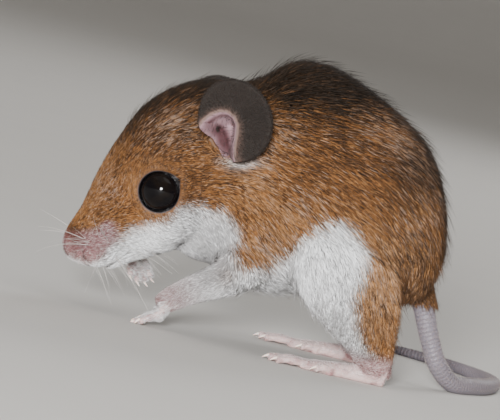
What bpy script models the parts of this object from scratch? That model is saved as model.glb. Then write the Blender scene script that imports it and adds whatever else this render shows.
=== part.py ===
"""A pygmy mouse at life size, as a still model that stands on its feet and tail.

All sizes are in millimetres until the last step, which scales the finished meshes to metres.
The mouse faces -X, its left side is towards -Y, and the floor is the plane z = 0.
The core (head, neck and trunk) is one blended form that thin plane cuts divide. Limbs, ears,
eyes and tail are solids of their own, whose roots sit in sockets cut into the core.
"""

import math

import bmesh
import bpy
import numpy as np
from mathutils import Matrix, Vector
from mathutils.bvhtree import BVHTree

METRES = 0.001
GAP = 0.3
LEFT, RIGHT = -1, 1
SIDES = (("left", LEFT), ("right", RIGHT))

# The head: its axis runs from the nose tip up and back to the occiput, turned a little to the left.
NOSE_TIP = Vector((-10.4, 0.0, 4.75))
HEAD_PITCH = math.radians(48.3)
HEAD_TURN = math.radians(5.0)
NECK_PIVOT = Vector((4.0, 0.0, 17.0))
# Back from the nose, height above the axis, depth below it, half width, level of the widest place.
HEAD_STATIONS = (
    (-0.15, 0.3, 0.7, 0.45, -0.2),
    (0.25, 1.0, 1.6, 0.95, -0.3),
    (0.9, 1.6, 2.3, 1.35, -0.5),
    (2.0, 2.15, 3.15, 1.9, -0.8),
    (4.0, 2.95, 4.2, 2.7, -1.2),
    (6.3, 4.35, 5.1, 3.6, -1.2),
    (8.8, 5.65, 5.9, 4.75, -0.9),
    (11.5, 6.75, 6.3, 5.75, -0.8),
    (14.5, 7.7, 6.7, 6.5, -0.9),
    (17.5, 7.75, 7.1, 6.95, -1.0),
    (20.5, 6.9, 7.2, 6.95, -0.8),
    (23.0, 5.6, 6.6, 6.4, -0.5),
)
WHISKER_PAD = {"at": (3.6, 1.65, -1.7), "radii": (2.5, 1.75, 1.75)}
CHEEK = {"at": (11.5, 3.4, -2.9), "radii": (4.2, 2.9, 2.7)}
CHIN = {"at": (4.9, 0.0, -3.35), "radii": (2.7, 1.35, 1.15)}

# The trunk, in upright sections: place along X, top, bottom, half width, level of the widest place.
TRUNK_STATIONS = (
    (-1.5, 23.6, 9.6, 6.1, 16.8),
    (1.5, 25.0, 7.9, 7.0, 16.0),
    (4.3, 26.5, 6.9, 7.8, 15.2),
    (7.0, 28.8, 5.6, 8.7, 14.5),
    (10.0, 29.4, 5.6, 9.5, 14.1),
    (13.5, 28.6, 6.3, 10.1, 14.0),
    (17.0, 27.1, 6.8, 10.4, 14.0),
    (20.0, 25.5, 7.1, 10.1, 13.8),
    (22.5, 23.5, 7.4, 9.0, 13.6),
    (24.6, 20.4, 7.8, 7.1, 13.3),
    (25.9, 17.0, 8.6, 4.7, 12.8),
    (26.5, 14.4, 9.8, 2.5, 12.2),
)
# Masses that fill the throat and the jowls, low down where the head meets the trunk.
THROAT = {"at": (2.7, 0.0, 8.7), "radii": (2.6, 3.2, 1.7)}
JOWL = {"at": (-1.7, 3.0, 8.35), "radii": (2.2, 1.7, 1.35)}

# Thin cuts through the core, each by a point on the plane and its normal, from the rump forwards.
CORE_CUTS = (
    ("rump", (13.6, 0, 15), (1.0, 0, 0.02)),
    ("torso", (4.9, 0, 17), (0.985, 0, -0.05)),
    ("neck", (2.3, 0, 17), (0.93, 0, 0.34)),
)
MUZZLE_LENGTH = 6.6
# Triangles that the blended core keeps, and then the most for each node when all is cut.
CORE_TRIANGLES = 7000
BUDGET = {
    "rump": 1350,
    "torso": 1350,
    "neck": 700,
    "head": 2400,
    "muzzle": 2300,
    "thigh": 640,
    "shank": 350,
    "foreleg": 400,
    "forepaw": 850,
    "hind_foot": 1000,
    "eye": 440,
    "ear": 1150,
    "tail": 320,
}

EYE = {"at": (11.5, 4.5, 0.05), "radius": 2.15, "forward": 0.3, "upward": 0.12}
LID = {"opening": 2.42, "corner": 0.55, "lift": 0.95, "thickness": 0.46}
# Lines pressed into the muzzle: back from the nose tip, side, height above the head's axis.
NOSTRIL = ((0.5, 0.75, -0.7), (0.85, 1.15, -0.45), (1.25, 1.4, -0.5))
NOSE_WING = ((1.5, 0.4, 1.3), (1.6, 1.2, 0.5), (1.5, 1.6, -0.6), (1.1, 1.35, -1.5))
CLEFT = ((-0.1, -0.9), (0.1, -1.5), (0.5, -2.2), (1.1, -2.9), (1.7, -3.6))
# Places on the ear are across and up in radii; the fold arches from the front rim over the concha.
EAR = {
    "canal": (19.4, 6.55, -0.6),
    "radius": 4.05,
    "thickness": 0.62,
    "depth": 0.9,
    "concha": 1.5,
    "ridge": 0.3,
    "low": (-0.1, -0.5),
    "fold": (
        (-0.95, -0.22),
        (-0.82, -0.03),
        (-0.64, 0.14),
        (-0.44, 0.23),
        (-0.23, 0.24),
        (-0.05, 0.13),
        (0.05, -0.07),
        (0.05, -0.32),
        (0.04, -0.56),
        (0.08, -0.78),
        (0.16, -0.95),
    ),
    "front_rim": ((0.0, -1.1), (-0.6, -1.0), (-1.1, -0.5)),
    "rise": 2.95,
    "stand_off": {LEFT: 2.0, RIGHT: 1.1},
    "face_forward": math.radians(28),
    "tip_out": {LEFT: math.radians(12), RIGHT: math.radians(30)},
}

# Limbs, by x, side, up, and the radius of each place.
FORELEG_LEFT = (
    (8.6, -5.0, 10.0, 2.7),
    (7.0, -5.4, 7.6, 2.3),
    (5.4, -5.4, 6.15, 1.75),
    (3.8, -5.3, 5.1, 1.45),
    (2.2, -5.2, 4.0, 1.28),
    (0.9, -5.1, 2.95, 1.12),
    (0.1, -5.05, 2.2, 0.85),
)
FORELEG_RIGHT = (
    (7.5, 5.4, 10.8, 2.5),
    (5.2, 6.4, 9.7, 1.9),
    (3.0, 6.8, 9.2, 1.55),
    (0.8, 6.7, 8.8, 1.35),
    (-1.3, 6.2, 8.1, 1.2),
    (-3.0, 5.7, 7.0, 1.08),
    (-3.6, 5.5, 6.0, 0.85),
)
# Along X, side, up, radius along X, radius across.
HIND_LEG = (
    (15.4, 6.2, 14.8, 3.4, 2.8),
    (16.4, 7.2, 12.2, 5.1, 3.7),
    (17.6, 7.6, 9.2, 5.4, 3.7),
    (18.7, 7.7, 6.8, 4.7, 3.1),
    (19.8, 7.7, 5.1, 3.6, 2.45),
    (20.9, 7.65, 3.6, 2.6, 2.0),
    (21.8, 7.6, 2.3, 1.95, 1.65),
    (22.2, 7.6, 0.5, 1.75, 1.5),
)
RIGHT_LEG_FORWARD = 1.2
# Round regions that part each limb from the body: centre, radii and lean in degrees about Y.
FORELEG_LEFT_REGION = ((1.6, -5.4, 3.6), (5.2, 2.7, 2.5), -36)
FORELEG_RIGHT_REGION = ((-1.2, 7.2, 7.8), (5.2, 2.6, 2.4), -24)
THIGH_REGION = ((17.6, 9.6, 9.6), (6.6, 6.0, 6.2), 0)
# The planes that part paws and feet from their limbs: a point, and the way down the limb.
WRIST_LEFT = ((0.95, -5.1, 2.9), (-0.7, 0.02, -0.71))
WRIST_RIGHT = ((-3.45, 5.55, 6.25), (-0.35, -0.1, -0.93))
ANKLE = ((21.9, 0, 2.35), (0.12, 0, -0.99))
# The shanks lie under this tilted plane, given by its height at x = 0 and its slope.
SHANK_PLANE = (4.55, 0.115)

FORE_PAW = {"palm": 2.0, "width": 2.6, "thick": 1.4, "digits": (1.6, 2.0, 1.95, 1.5), "digit_r": 0.38}
HIND_PAW = {
    "palm": 8.2,
    "width": 2.5,
    "thick": 1.8,
    "digits": (1.7, 3.2, 3.6, 3.3, 2.1),
    "set_back": (2.6, 0.25, 0.0, 0.25, 2.2),
    "digit_r": 0.42,
}
CLAW = {"length": 0.85, "radius": 0.25}

TAIL_PATH = (
    (24.1, 0.0, 10.8, 1.25),
    (25.4, 0.0, 8.6, 1.1),
    (27.1, 0.1, 5.0, 0.98),
    (28.5, 0.5, 2.6, 0.95),
    (30.2, 2.0, 1.1, 0.92),
    (32.7, 5.2, 0.8, 0.88),
    (34.9, 10.2, 0.74, 0.82),
    (35.4, 15.6, 0.67, 0.75),
    (33.6, 20.8, 0.6, 0.67),
    (30.0, 25.0, 0.52, 0.58),
    (25.2, 27.6, 0.42, 0.48),
)
TAIL_LENGTHS = 4

# Whiskers: back from the nose, side, height, then how far each leans forward, out and up, and its length.
WHISKERS = (
    (2.3, 1.7, 0.2, -0.35, 0.8, 0.95, 8.5),
    (2.6, 2.1, -0.9, -0.55, 0.95, 0.55, 10.5),
    (3.3, 2.5, -1.9, -0.25, 1.0, 0.1, 11.5),
    (4.2, 2.7, -0.7, 0.1, 1.0, 0.45, 12.5),
    (4.7, 2.9, -2.0, 0.35, 1.0, -0.05, 12.0),
    (3.9, 2.4, -2.9, 0.05, 0.85, -0.35, 8.5),
)
WHISKER_ROOT = 0.26
WHISKER_TIP = 0.07

COLOURS = {
    "coat": ((0.42, 0.20, 0.07), 0.75),
    "white_coat": ((0.78, 0.74, 0.68), 0.8),
    "pink_skin": ((0.62, 0.40, 0.38), 0.55),
    "ear_skin": ((0.16, 0.11, 0.10), 0.6),
    "eye": ((0.008, 0.006, 0.006), 0.06),
}


def clear_scene():
    for obj in list(bpy.data.objects):
        bpy.data.objects.remove(obj)


def make_materials():
    for name, (colour, roughness) in COLOURS.items():
        material = bpy.data.materials.new(name)
        material.use_nodes = True
        shader = material.node_tree.nodes["Principled BSDF"]
        shader.inputs["Base Color"].default_value = (*colour, 1)
        shader.inputs["Roughness"].default_value = roughness
        shader.inputs["Metallic"].default_value = 0.0


def add_object(name, mesh):
    obj = bpy.data.objects.new(name, mesh)
    bpy.context.scene.collection.objects.link(obj)
    return obj


def remove(obj):
    bpy.data.objects.remove(obj)


def interpolate(rows, count):
    """Rows of numbers read off a smooth curve through the given rows, evenly spaced by their first three."""
    rows = np.array(rows, float)
    steps = np.linalg.norm(np.diff(rows[:, :3], axis=0), axis=1)
    knots = np.concatenate([[0], np.cumsum(steps)])
    slopes = np.gradient(rows, knots, axis=0)
    places = np.linspace(0, knots[-1], count)
    index = np.clip(np.searchsorted(knots, places, side="right") - 1, 0, len(rows) - 2)
    width = (knots[index + 1] - knots[index])[:, None]
    t = (places - knots[index])[:, None] / width
    start, end = rows[index], rows[index + 1]
    return (
        start * (2 * t**3 - 3 * t**2 + 1)
        + slopes[index] * width * (t**3 - 2 * t**2 + t)
        + end * (3 * t**2 - 2 * t**3)
        + slopes[index + 1] * width * (t**3 - t**2)
    )


def loft(name, rings):
    """A closed solid through rings of points, with a flat face on each end."""
    bm = bmesh.new()
    made = [[bm.verts.new(point) for point in ring] for ring in rings]
    for first, second in zip(made, made[1:]):
        for i in range(len(first)):
            j = (i + 1) % len(first)
            bm.faces.new((first[i], first[j], second[j], second[i]))
    bm.faces.new(list(reversed(made[0])))
    bm.faces.new(made[-1])
    bmesh.ops.recalc_face_normals(bm, faces=bm.faces)
    mesh = bpy.data.meshes.new(name)
    bm.to_mesh(mesh)
    bm.free()
    return add_object(name, mesh)


def oval(centre, side, above, below, sides, fullness=2.0):
    """A ring of points whose upper and lower halves may differ. Above 2, fullness squares it."""
    ring = []
    for i in range(sides):
        angle = 2 * math.pi * i / sides
        cos, sin = math.cos(angle), math.sin(angle)
        across = math.copysign(abs(cos) ** (2 / fullness), cos)
        along = math.copysign(abs(sin) ** (2 / fullness), sin)
        ring.append(centre + side * across + (above if along > 0 else below) * along)
    return ring


def ring_tube(name, points, radius, sides):
    """A closed ring of round section through the points."""
    count = len(points)
    centre = sum(points, Vector()) / count
    bm = bmesh.new()
    rings = []
    for i, point in enumerate(points):
        tangent = (points[(i + 1) % count] - points[i - 1]).normalized()
        lift = tangent.cross(point - centre).normalized()
        out = lift.cross(tangent)
        ring = oval(point, out * radius, lift * radius, lift * radius, sides)
        rings.append([bm.verts.new(place) for place in ring])
    for i, ring in enumerate(rings):
        following = rings[(i + 1) % count]
        for j in range(sides):
            k = (j + 1) % sides
            bm.faces.new((ring[j], ring[k], following[k], following[j]))
    bmesh.ops.recalc_face_normals(bm, faces=bm.faces)
    mesh = bpy.data.meshes.new(name)
    bm.to_mesh(mesh)
    bm.free()
    return add_object(name, mesh)


def tube(name, rows, sides, flat=1.0):
    """A tapered round limb along rows of x, y, z and radius. Flat under 1 lowers its height."""
    points = [Vector(row[:3]) for row in rows]
    rings = []
    up = Vector((0, 0, 1))
    for i, row in enumerate(rows):
        ahead = points[min(i + 1, len(points) - 1)]
        behind = points[max(i - 1, 0)]
        tangent = (ahead - behind).normalized()
        side = tangent.cross(up)
        if side.length < 0.2:
            side = tangent.cross(Vector((1, 0, 0)))
        side.normalize()
        lift = side.cross(tangent).normalized()
        radius = row[3]
        rings.append(oval(points[i], side * radius, lift * radius * flat, lift * radius * flat, sides))
    return loft(name, rings)


def ellipsoid(name, centre, radii, turn=None, segments=24, rings=14):
    bm = bmesh.new()
    bmesh.ops.create_uvsphere(bm, u_segments=segments, v_segments=rings, radius=1.0)
    shape = Matrix.Diagonal((*radii, 1.0))
    if turn is not None:
        shape = turn.to_4x4() @ shape
    bmesh.ops.transform(bm, matrix=Matrix.Translation(centre) @ shape, verts=bm.verts)
    mesh = bpy.data.meshes.new(name)
    bm.to_mesh(mesh)
    bm.free()
    return add_object(name, mesh)


def apply_modifiers(obj):
    graph = bpy.context.evaluated_depsgraph_get()
    mesh = bpy.data.meshes.new_from_object(obj.evaluated_get(graph))
    obj.modifiers.clear()
    obj.data = mesh


def joined(name, pieces):
    """One object holding all the pieces' surfaces, still loose from each other."""
    bm = bmesh.new()
    for piece in pieces:
        bm.from_mesh(piece.data)
        remove(piece)
    mesh = bpy.data.meshes.new(name)
    bm.to_mesh(mesh)
    bm.free()
    return add_object(name, mesh)


def blend(name, pieces, voxel, steps):
    """The pieces fused into one soft form, by remeshing and smoothing."""
    obj = joined(name, pieces)
    remesh = obj.modifiers.new("Fuse", "REMESH")
    remesh.mode = "VOXEL"
    remesh.voxel_size = voxel
    smooth = obj.modifiers.new("Soften", "SMOOTH")
    smooth.factor = 0.5
    smooth.iterations = steps
    apply_modifiers(obj)
    return obj


def thin_out(obj, triangles):
    """Fewer, larger triangles where the form is calm."""
    triangulate = obj.modifiers.new("Triangles", "TRIANGULATE")
    triangulate.quad_method = "BEAUTY"
    apply_modifiers(obj)
    decimate = obj.modifiers.new("Fewer", "DECIMATE")
    decimate.ratio = min(1.0, triangles / len(obj.data.polygons))
    apply_modifiers(obj)


def is_closed(mesh):
    bm = bmesh.new()
    bm.from_mesh(mesh)
    closed = all(len(edge.link_faces) == 2 for edge in bm.edges)
    bm.free()
    return closed


def clean(obj, most):
    """Thins a mesh out towards the most triangles it may have, as far as it stays closed."""
    whole = obj.data
    for share in (1.0, 1.1, 1.2, 1.35, 1.5):
        obj.data = whole.copy()
        thin_out(obj, most * share)
        if is_closed(obj.data):
            return
    obj.data = whole


def boolean(obj, operation, others):
    """One Boolean with a collection of closed meshes, which are then removed.

    A union has to add to the body and the others have to take from it, or the second solver is used.
    """
    tools = bpy.data.collections.new("Tools")
    for other in others:
        tools.objects.link(other)
    whole = obj.data
    sign = 1 if operation == "UNION" else -1
    for solver in ("EXACT", "MANIFOLD"):
        obj.data = whole.copy()
        modifier = obj.modifiers.new("Cut", "BOOLEAN")
        modifier.operation = operation
        modifier.operand_type = "COLLECTION"
        modifier.collection = tools
        modifier.solver = solver
        apply_modifiers(obj)
        keep_largest(obj)
        gained = (volume(obj.data) - volume(whole)) * sign
        if is_closed(obj.data) and gained > 0:
            break
    for other in others:
        remove(other)
    bpy.data.collections.remove(tools)


def volume(mesh):
    bm = bmesh.new()
    bm.from_mesh(mesh)
    size = bm.calc_volume()
    bm.free()
    return size


def keep_largest(obj):
    """Drops every loose scrap but the largest closed surface."""
    bm = bmesh.new()
    bm.from_mesh(obj.data)
    bm.verts.ensure_lookup_table()
    seen = set()
    bodies = []
    for start in bm.verts:
        if start.index in seen:
            continue
        seen.add(start.index)
        stack, body = [start], []
        while stack:
            vert = stack.pop()
            body.append(vert)
            for edge in vert.link_edges:
                other = edge.other_vert(vert)
                if other.index not in seen:
                    seen.add(other.index)
                    stack.append(other)
        bodies.append(body)
    bodies.sort(key=len)
    scraps = [vert for body in bodies[:-1] for vert in body]
    bmesh.ops.delete(bm, geom=scraps, context="VERTS")
    bm.to_mesh(obj.data)
    bm.free()


def half(obj, name, point, normal):
    """A copy of what lies on the normal's side of a plane, closed by a flat face."""
    bm = bmesh.new()
    bm.from_mesh(obj.data)
    cut = bmesh.ops.bisect_plane(
        bm,
        geom=bm.verts[:] + bm.edges[:] + bm.faces[:],
        plane_co=point,
        plane_no=normal,
        clear_inner=True,
    )
    edges = [item for item in cut["geom_cut"] if isinstance(item, bmesh.types.BMEdge)]
    bmesh.ops.triangle_fill(bm, use_beauty=True, edges=edges)
    bmesh.ops.recalc_face_normals(bm, faces=bm.faces)
    mesh = bpy.data.meshes.new(name)
    bm.to_mesh(mesh)
    bm.free()
    return add_object(name, mesh)


def grown(obj, by):
    """A copy whose surface lies further out all over."""
    copy = add_object(obj.name + "_grown", obj.data.copy())
    bm = bmesh.new()
    bm.from_mesh(copy.data)
    bm.normal_update()
    moves = [vert.normal.copy() for vert in bm.verts]
    for vert, move in zip(bm.verts, moves):
        vert.co += move * by
    bm.to_mesh(copy.data)
    bm.free()
    return copy


def solid_tree(obj):
    return BVHTree.FromObject(obj, bpy.context.evaluated_depsgraph_get())


def hull(obj):
    """The convex hull of an object, as an object of its own."""
    bm = bmesh.new()
    for vert in obj.data.vertices:
        bm.verts.new(vert.co)
    made = bmesh.ops.convex_hull(bm, input=bm.verts)
    unused = [item for item in made["geom_interior"] if isinstance(item, bmesh.types.BMVert)]
    bmesh.ops.delete(bm, geom=unused, context="VERTS")
    mesh = bpy.data.meshes.new("hull")
    bm.to_mesh(mesh)
    bm.free()
    return add_object("hull", mesh)


def seat(parents, child, hollow=False):
    """Cuts a socket for the child into each parent that it meets, a gap wider all round.

    A hollow child gets a socket for its whole hull, so nothing fills its bowl.
    """
    form = hull(child) if hollow else child
    cutter = grown(form, GAP)
    if hollow:
        remove(form)
        thin_out(cutter, 300)
    tree = solid_tree(cutter)
    for parent in parents:
        if tree.overlap(solid_tree(parent)):
            copy = add_object("socket_copy", cutter.data.copy())
            boolean(parent, "DIFFERENCE", [copy])
    remove(cutter)


def stand_flat(obj):
    """Flattens whatever reaches under the floor into a pad at floor level."""
    if min(vert.co.z for vert in obj.data.vertices) >= 0:
        return obj
    name = obj.name
    flat = half(obj, name + "_flat", Vector((0, 0, 0)), Vector((0, 0, 1)))
    remove(obj)
    flat.name = name
    return flat


def head_axes():
    turn = Matrix.Rotation(HEAD_TURN, 3, "Z")
    back = turn @ Vector((math.cos(HEAD_PITCH), 0, math.sin(HEAD_PITCH)))
    side = turn @ Vector((0, 1, 0))
    up = turn @ Vector((-math.sin(HEAD_PITCH), 0, math.cos(HEAD_PITCH)))
    origin = NECK_PIVOT + turn @ (NOSE_TIP - NECK_PIVOT)
    return origin, back, side, up


def head_point(back, side, up):
    """A place given by how far it lies back from the nose tip, to the side and above the head's axis."""
    origin, along, across, above = head_axes()
    return origin + along * back + across * side + above * up


def head_turn():
    """The turn from upright axes to the head's own: back, side and up."""
    _, back, side, up = head_axes()
    return Matrix((back, side, up)).transposed()


def head_form():
    _, _, side, up = head_axes()
    rows = [(back, 0, 0, *sizes) for back, *sizes in HEAD_STATIONS]
    rings = []
    for back, _, _, above, below, half_width, level in interpolate(rows, 34):
        centre = head_point(back, 0, level)
        rings.append(oval(centre, side * half_width, up * (above - level), up * (below + level), 40))
    pieces = [loft("skull", rings)]
    turn = head_turn()
    for spot in (WHISKER_PAD, CHEEK):
        back, out, height = spot["at"]
        for hand in (LEFT, RIGHT):
            pieces.append(ellipsoid("mass", head_point(back, out * hand, height), spot["radii"], turn))
    pieces.append(ellipsoid("chin", head_point(*CHIN["at"]), CHIN["radii"], turn))
    return pieces


def trunk_form():
    rows = [(x, 0, 0, *sizes) for x, *sizes in TRUNK_STATIONS]
    rings = []
    for x, _, _, top, bottom, half_width, level in interpolate(rows, 40):
        centre = Vector((x, 0, level))
        side = Vector((0, half_width, 0))
        above, below = Vector((0, 0, top - level)), Vector((0, 0, level - bottom))
        rings.append(oval(centre, side, above, below, 48, 2.1))
    x, y, z = JOWL["at"]
    masses = [ellipsoid("throat", Vector(THROAT["at"]), THROAT["radii"])]
    masses += [ellipsoid("jowl", Vector((x, y * hand, z)), JOWL["radii"]) for hand in (LEFT, RIGHT)]
    return [loft("trunk", rings)] + masses


def hind_leg_form(hand):
    shift = Vector((-RIGHT_LEG_FORWARD if hand == RIGHT else 0, 0, 0))
    rows = [(x, side * hand, up, long, wide) for x, side, up, long, wide in HIND_LEG]
    rings = []
    for x, y, z, long, wide in interpolate(rows, 20):
        centre = Vector((x, y, z)) + shift
        along = Vector((long, 0, long * 0.12))
        across = Vector((0, wide, 0))
        rings.append(oval(centre, along, across, across, 24))
    return loft("leg", rings)


def limb_forms():
    legs = [hind_leg_form(hand) for hand in (LEFT, RIGHT)]
    arms = [tube("arm", interpolate(rows, 16), 20) for rows in (FORELEG_LEFT, FORELEG_RIGHT)]
    return legs + arms


def round_region(name, region, hand=LEFT, extra=0.0):
    (x, y, z), radii, lean = region
    turn = Matrix.Rotation(math.radians(lean), 3, "Y")
    return ellipsoid(name, Vector((x, y, z)), [r + extra for r in radii], turn, 32, 20)


def shank_region(name, hand, extra=0.0):
    """A block that holds one shank, under the tilted plane."""
    height, slope = SHANK_PLANE
    low = min(3.2 * hand, 14 * hand) - extra
    high = max(3.2 * hand, 14 * hand) + extra
    rings = []
    for x in (10.5 - extra, 27 + extra):
        top = height + slope * x + extra
        rings.append([Vector((x, y, z)) for y, z in ((low, -3), (high, -3), (high, top), (low, top))])
    return loft(name, rings)


def carve(core, name, make_region, *choice):
    """Takes a region out of the core as a node of its own, with a gap between the two."""
    node = add_object(name, core.data.copy())
    boolean(node, "INTERSECT", [make_region("inside", *choice)])
    boolean(core, "DIFFERENCE", [make_region("outside", *choice, GAP)])
    return node


def make_core():
    core = blend("core", head_form() + trunk_form() + limb_forms(), 0.3, 11)
    core = blend("core", [core] + [lid_form(hand) for hand in (LEFT, RIGHT)], 0.17, 3)
    sculpt_face(core)
    thin_out(core, CORE_TRIANGLES)
    nodes = {}
    nodes["foreleg_left"] = carve(core, "foreleg_left", round_region, FORELEG_LEFT_REGION, LEFT)
    nodes["foreleg_right"] = carve(core, "foreleg_right", round_region, FORELEG_RIGHT_REGION, RIGHT)
    for word, hand in SIDES:
        nodes["shank_" + word] = carve(core, "shank_" + word, shank_region, hand)
        (x, y, z), radii, lean = THIGH_REGION
        x -= RIGHT_LEG_FORWARD if hand == RIGHT else 0
        region = ((x, y * hand, z), radii, lean)
        nodes["thigh_" + word] = carve(core, "thigh_" + word, round_region, region, hand)
    rest = core
    for name, point, normal in CORE_CUTS:
        point, normal = Vector(point), Vector(normal).normalized()
        nodes[name] = half(rest, name, point + normal * GAP / 2, normal)
        front = half(rest, "front", point - normal * GAP / 2, -normal)
        remove(rest)
        rest = front
    _, back, _, _ = head_axes()
    point = head_point(MUZZLE_LENGTH, 0, 0)
    nodes["head"] = half(rest, "head", point + back * GAP / 2, back)
    nodes["muzzle"] = half(rest, "muzzle", point - back * GAP / 2, -back)
    remove(rest)
    return nodes


def make_eye(name, hand):
    back, out, height = EYE["at"]
    return ellipsoid(name, head_point(back, out * hand, height), [EYE["radius"]] * 3, head_turn(), 20, 12)


def surface_path(tree, points):
    """The points moved onto a surface."""
    return [tree.find_nearest(point)[0] for point in points]


def press(obj, path, radius, depth):
    """Sinks a soft groove along a path on the surface."""
    mesh = obj.data
    count = len(mesh.vertices)
    places = np.empty(count * 3)
    normals = np.empty(count * 3)
    mesh.vertices.foreach_get("co", places)
    mesh.vertex_normals.foreach_get("vector", normals)
    places, normals = places.reshape(-1, 3), normals.reshape(-1, 3)
    path = np.array(path, float)
    low, high = path.min(axis=0) - 3 * radius, path.max(axis=0) + 3 * radius
    near = np.flatnonzero(((places > low) & (places < high)).all(axis=1))
    distance = np.full(len(near), 1e9)
    for start, end in zip(path, path[1:]):
        span = end - start
        share = np.clip((places[near] - start) @ span / max(span @ span, 1e-9), 0, 1)
        off = places[near] - (start + share[:, None] * span)
        distance = np.minimum(distance, np.linalg.norm(off, axis=1))
    moves = -depth * np.exp(-((distance / radius) ** 2))
    places[near] += normals[near] * moves[:, None]
    mesh.vertices.foreach_set("co", places.ravel())
    mesh.update()


def lid_form(hand):
    """The rim of both lids round the eyeball, drawn out to a point at the rear corner."""
    back, out, height = EYE["at"]
    centre = head_point(back, out * hand, height)
    _, along, across, above = head_axes()
    gaze = (across * hand - along * EYE["forward"] + above * EYE["upward"]).normalized()
    rear = (along - gaze * along.dot(gaze)).normalized()
    top = (above - gaze * above.dot(gaze) - rear * above.dot(rear)).normalized()
    points = []
    for i in range(32):
        angle = 2 * math.pi * i / 32
        reach = LID["opening"] + LID["corner"] * max(0, math.cos(angle)) ** 10
        flat = rear * math.cos(angle) + top * math.sin(angle) * 0.97
        points.append(centre + gaze * LID["lift"] + flat * reach)
    return ring_tube("lid", points, LID["thickness"], 10)


def mouth_path(tree):
    """The mouth line, from corner to corner under the nose."""
    points = []
    for i in range(21):
        across = -1 + i / 10
        back = 1.7 + 3.6 * abs(across) ** 1.5
        points.append(head_point(back, 2.3 * across, -3.5 - 0.2 * (1 - abs(across))))
    return surface_path(tree, points)


def sculpt_face(core):
    tree = solid_tree(core)
    for hand in (LEFT, RIGHT):
        spot = [head_point(back, side * hand, up) for back, side, up in NOSTRIL]
        press(core, surface_path(tree, spot), 0.3, 0.34)
        fold = [head_point(back, side * hand, up) for back, side, up in NOSE_WING]
        press(core, surface_path(tree, fold), 0.3, 0.28)
    press(core, mouth_path(tree), 0.28, 0.46)
    cleft = [head_point(back, 0, up) for back, up in CLEFT]
    press(core, surface_path(tree, cleft), 0.2, 0.3)


def make_whiskers(muzzle):
    tree = solid_tree(muzzle)
    _, along, across, above = head_axes()
    pieces = []
    for back, out, height, lean_back, lean_out, lean_up, length in WHISKERS:
        for hand in (LEFT, RIGHT):
            place, normal, _, _ = tree.find_nearest(head_point(back, out * hand, height))
            heading = along * lean_back + across * lean_out * hand + above * lean_up
            heading = (heading.normalized() + normal * 0.3).normalized()
            rows = []
            for i in range(6):
                share = i / 5
                point = place + heading * (length * share - 0.7)
                point.z -= 0.2 * length * share**2
                rows.append((*point, WHISKER_ROOT + (WHISKER_TIP - WHISKER_ROOT) * share))
            pieces.append(tube("whisker", rows, 5))
    boolean(muzzle, "UNION", pieces)


def ear_axes(hand):
    """Back along the ear's rim plane, up it, and out of the cup."""
    forward, outward = EAR["face_forward"], EAR["tip_out"][hand]
    back = Vector((math.cos(forward), hand * math.sin(forward), 0.12)).normalized()
    up = Vector((-0.05, hand * math.sin(outward), math.cos(outward)))
    up = (up - back * up.dot(back)).normalized()
    out = back.cross(up) * -hand
    return back, up, out.normalized()


def ear_depth(u, v):
    """How deep the ear's inner face lies under its rim, at a place across, u, and up, v, in radii."""
    depth = EAR["depth"] * max(0.0, 1 - (u * u + v * v)) ** 1.15
    place = Vector((u, v))
    fold = [Vector(point) for point in EAR["fold"]]
    off = min(distance_to_span(place, start, end) for start, end in zip(fold, fold[1:]))
    inside = inside_loop(place, fold + [Vector(point) for point in EAR["front_rim"]])
    if inside:
        depth += EAR["concha"] * min(1.0, off / 0.32) ** 1.5
    return depth - EAR["ridge"] * math.exp(-((off / 0.1) ** 2))


def distance_to_span(place, start, end):
    span = end - start
    share = max(0.0, min(1.0, (place - start).dot(span) / span.length_squared))
    return (place - start - span * share).length


def inside_loop(place, loop):
    inside = False
    for start, end in zip(loop, loop[1:] + loop[:1]):
        if (start.y > place.y) != (end.y > place.y):
            crossing = start.x + (place.y - start.y) / (end.y - start.y) * (end.x - start.x)
            if place.x < crossing:
                inside = not inside
    return inside


def ear_centre(hand):
    canal = head_point(EAR["canal"][0], EAR["canal"][1] * hand, EAR["canal"][2])
    _, up, _ = ear_axes(hand)
    return canal + up * EAR["rise"] + Vector((0, hand * EAR["stand_off"][hand], 0))


def ear_point(hand, u, v, behind=0.0):
    """A place on the ear's inner face, or a way behind it."""
    back, up, out = ear_axes(hand)
    place = ear_centre(hand) + (back * u + up * v) * EAR["radius"]
    return place - out * (ear_depth(u, v) + behind)


def make_ear(name, hand):
    """A thin cup with a concha inside a fold, on a short root."""
    rings, spokes = 14, 48
    bm = bmesh.new()
    low_u, low_v = EAR["low"]
    middle = bm.verts.new(ear_point(hand, low_u, low_v))
    made = []
    for r in range(1, rings + 1):
        ring = []
        for s in range(spokes):
            angle = 2 * math.pi * s / spokes
            size = 1 + 0.05 * math.cos(angle - math.radians(60))
            u = low_u + (size * math.cos(angle) - low_u) * r / rings
            v = low_v + (size * math.sin(angle) - low_v) * r / rings
            ring.append(bm.verts.new(ear_point(hand, u, v)))
        made.append(ring)
    for s in range(spokes):
        t = (s + 1) % spokes
        bm.faces.new((middle, made[0][s], made[0][t]))
        for inner, outer in zip(made, made[1:]):
            bm.faces.new((inner[s], outer[s], outer[t], inner[t]))
    bmesh.ops.recalc_face_normals(bm, faces=bm.faces)
    mesh = bpy.data.meshes.new(name)
    bm.to_mesh(mesh)
    bm.free()
    ear = add_object(name, mesh)
    solidify = ear.modifiers.new("Thickness", "SOLIDIFY")
    solidify.thickness = EAR["thickness"]
    solidify.offset = 0
    apply_modifiers(ear)
    root_top = ear_point(hand, low_u - 0.05, low_v - 0.05, 0.9)
    canal = head_point(EAR["canal"][0] + 0.5, (EAR["canal"][1] - 1.8) * hand, EAR["canal"][2])
    root_rows = [(*canal, 1.7), (*canal.lerp(root_top, 0.5), 1.7), (*root_top, 1.0)]
    root = tube("root", interpolate(root_rows, 5), 14)
    ear = blend(name, [ear, root], 0.12, 4)
    thin_out(ear, BUDGET["ear"])
    return ear


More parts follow.
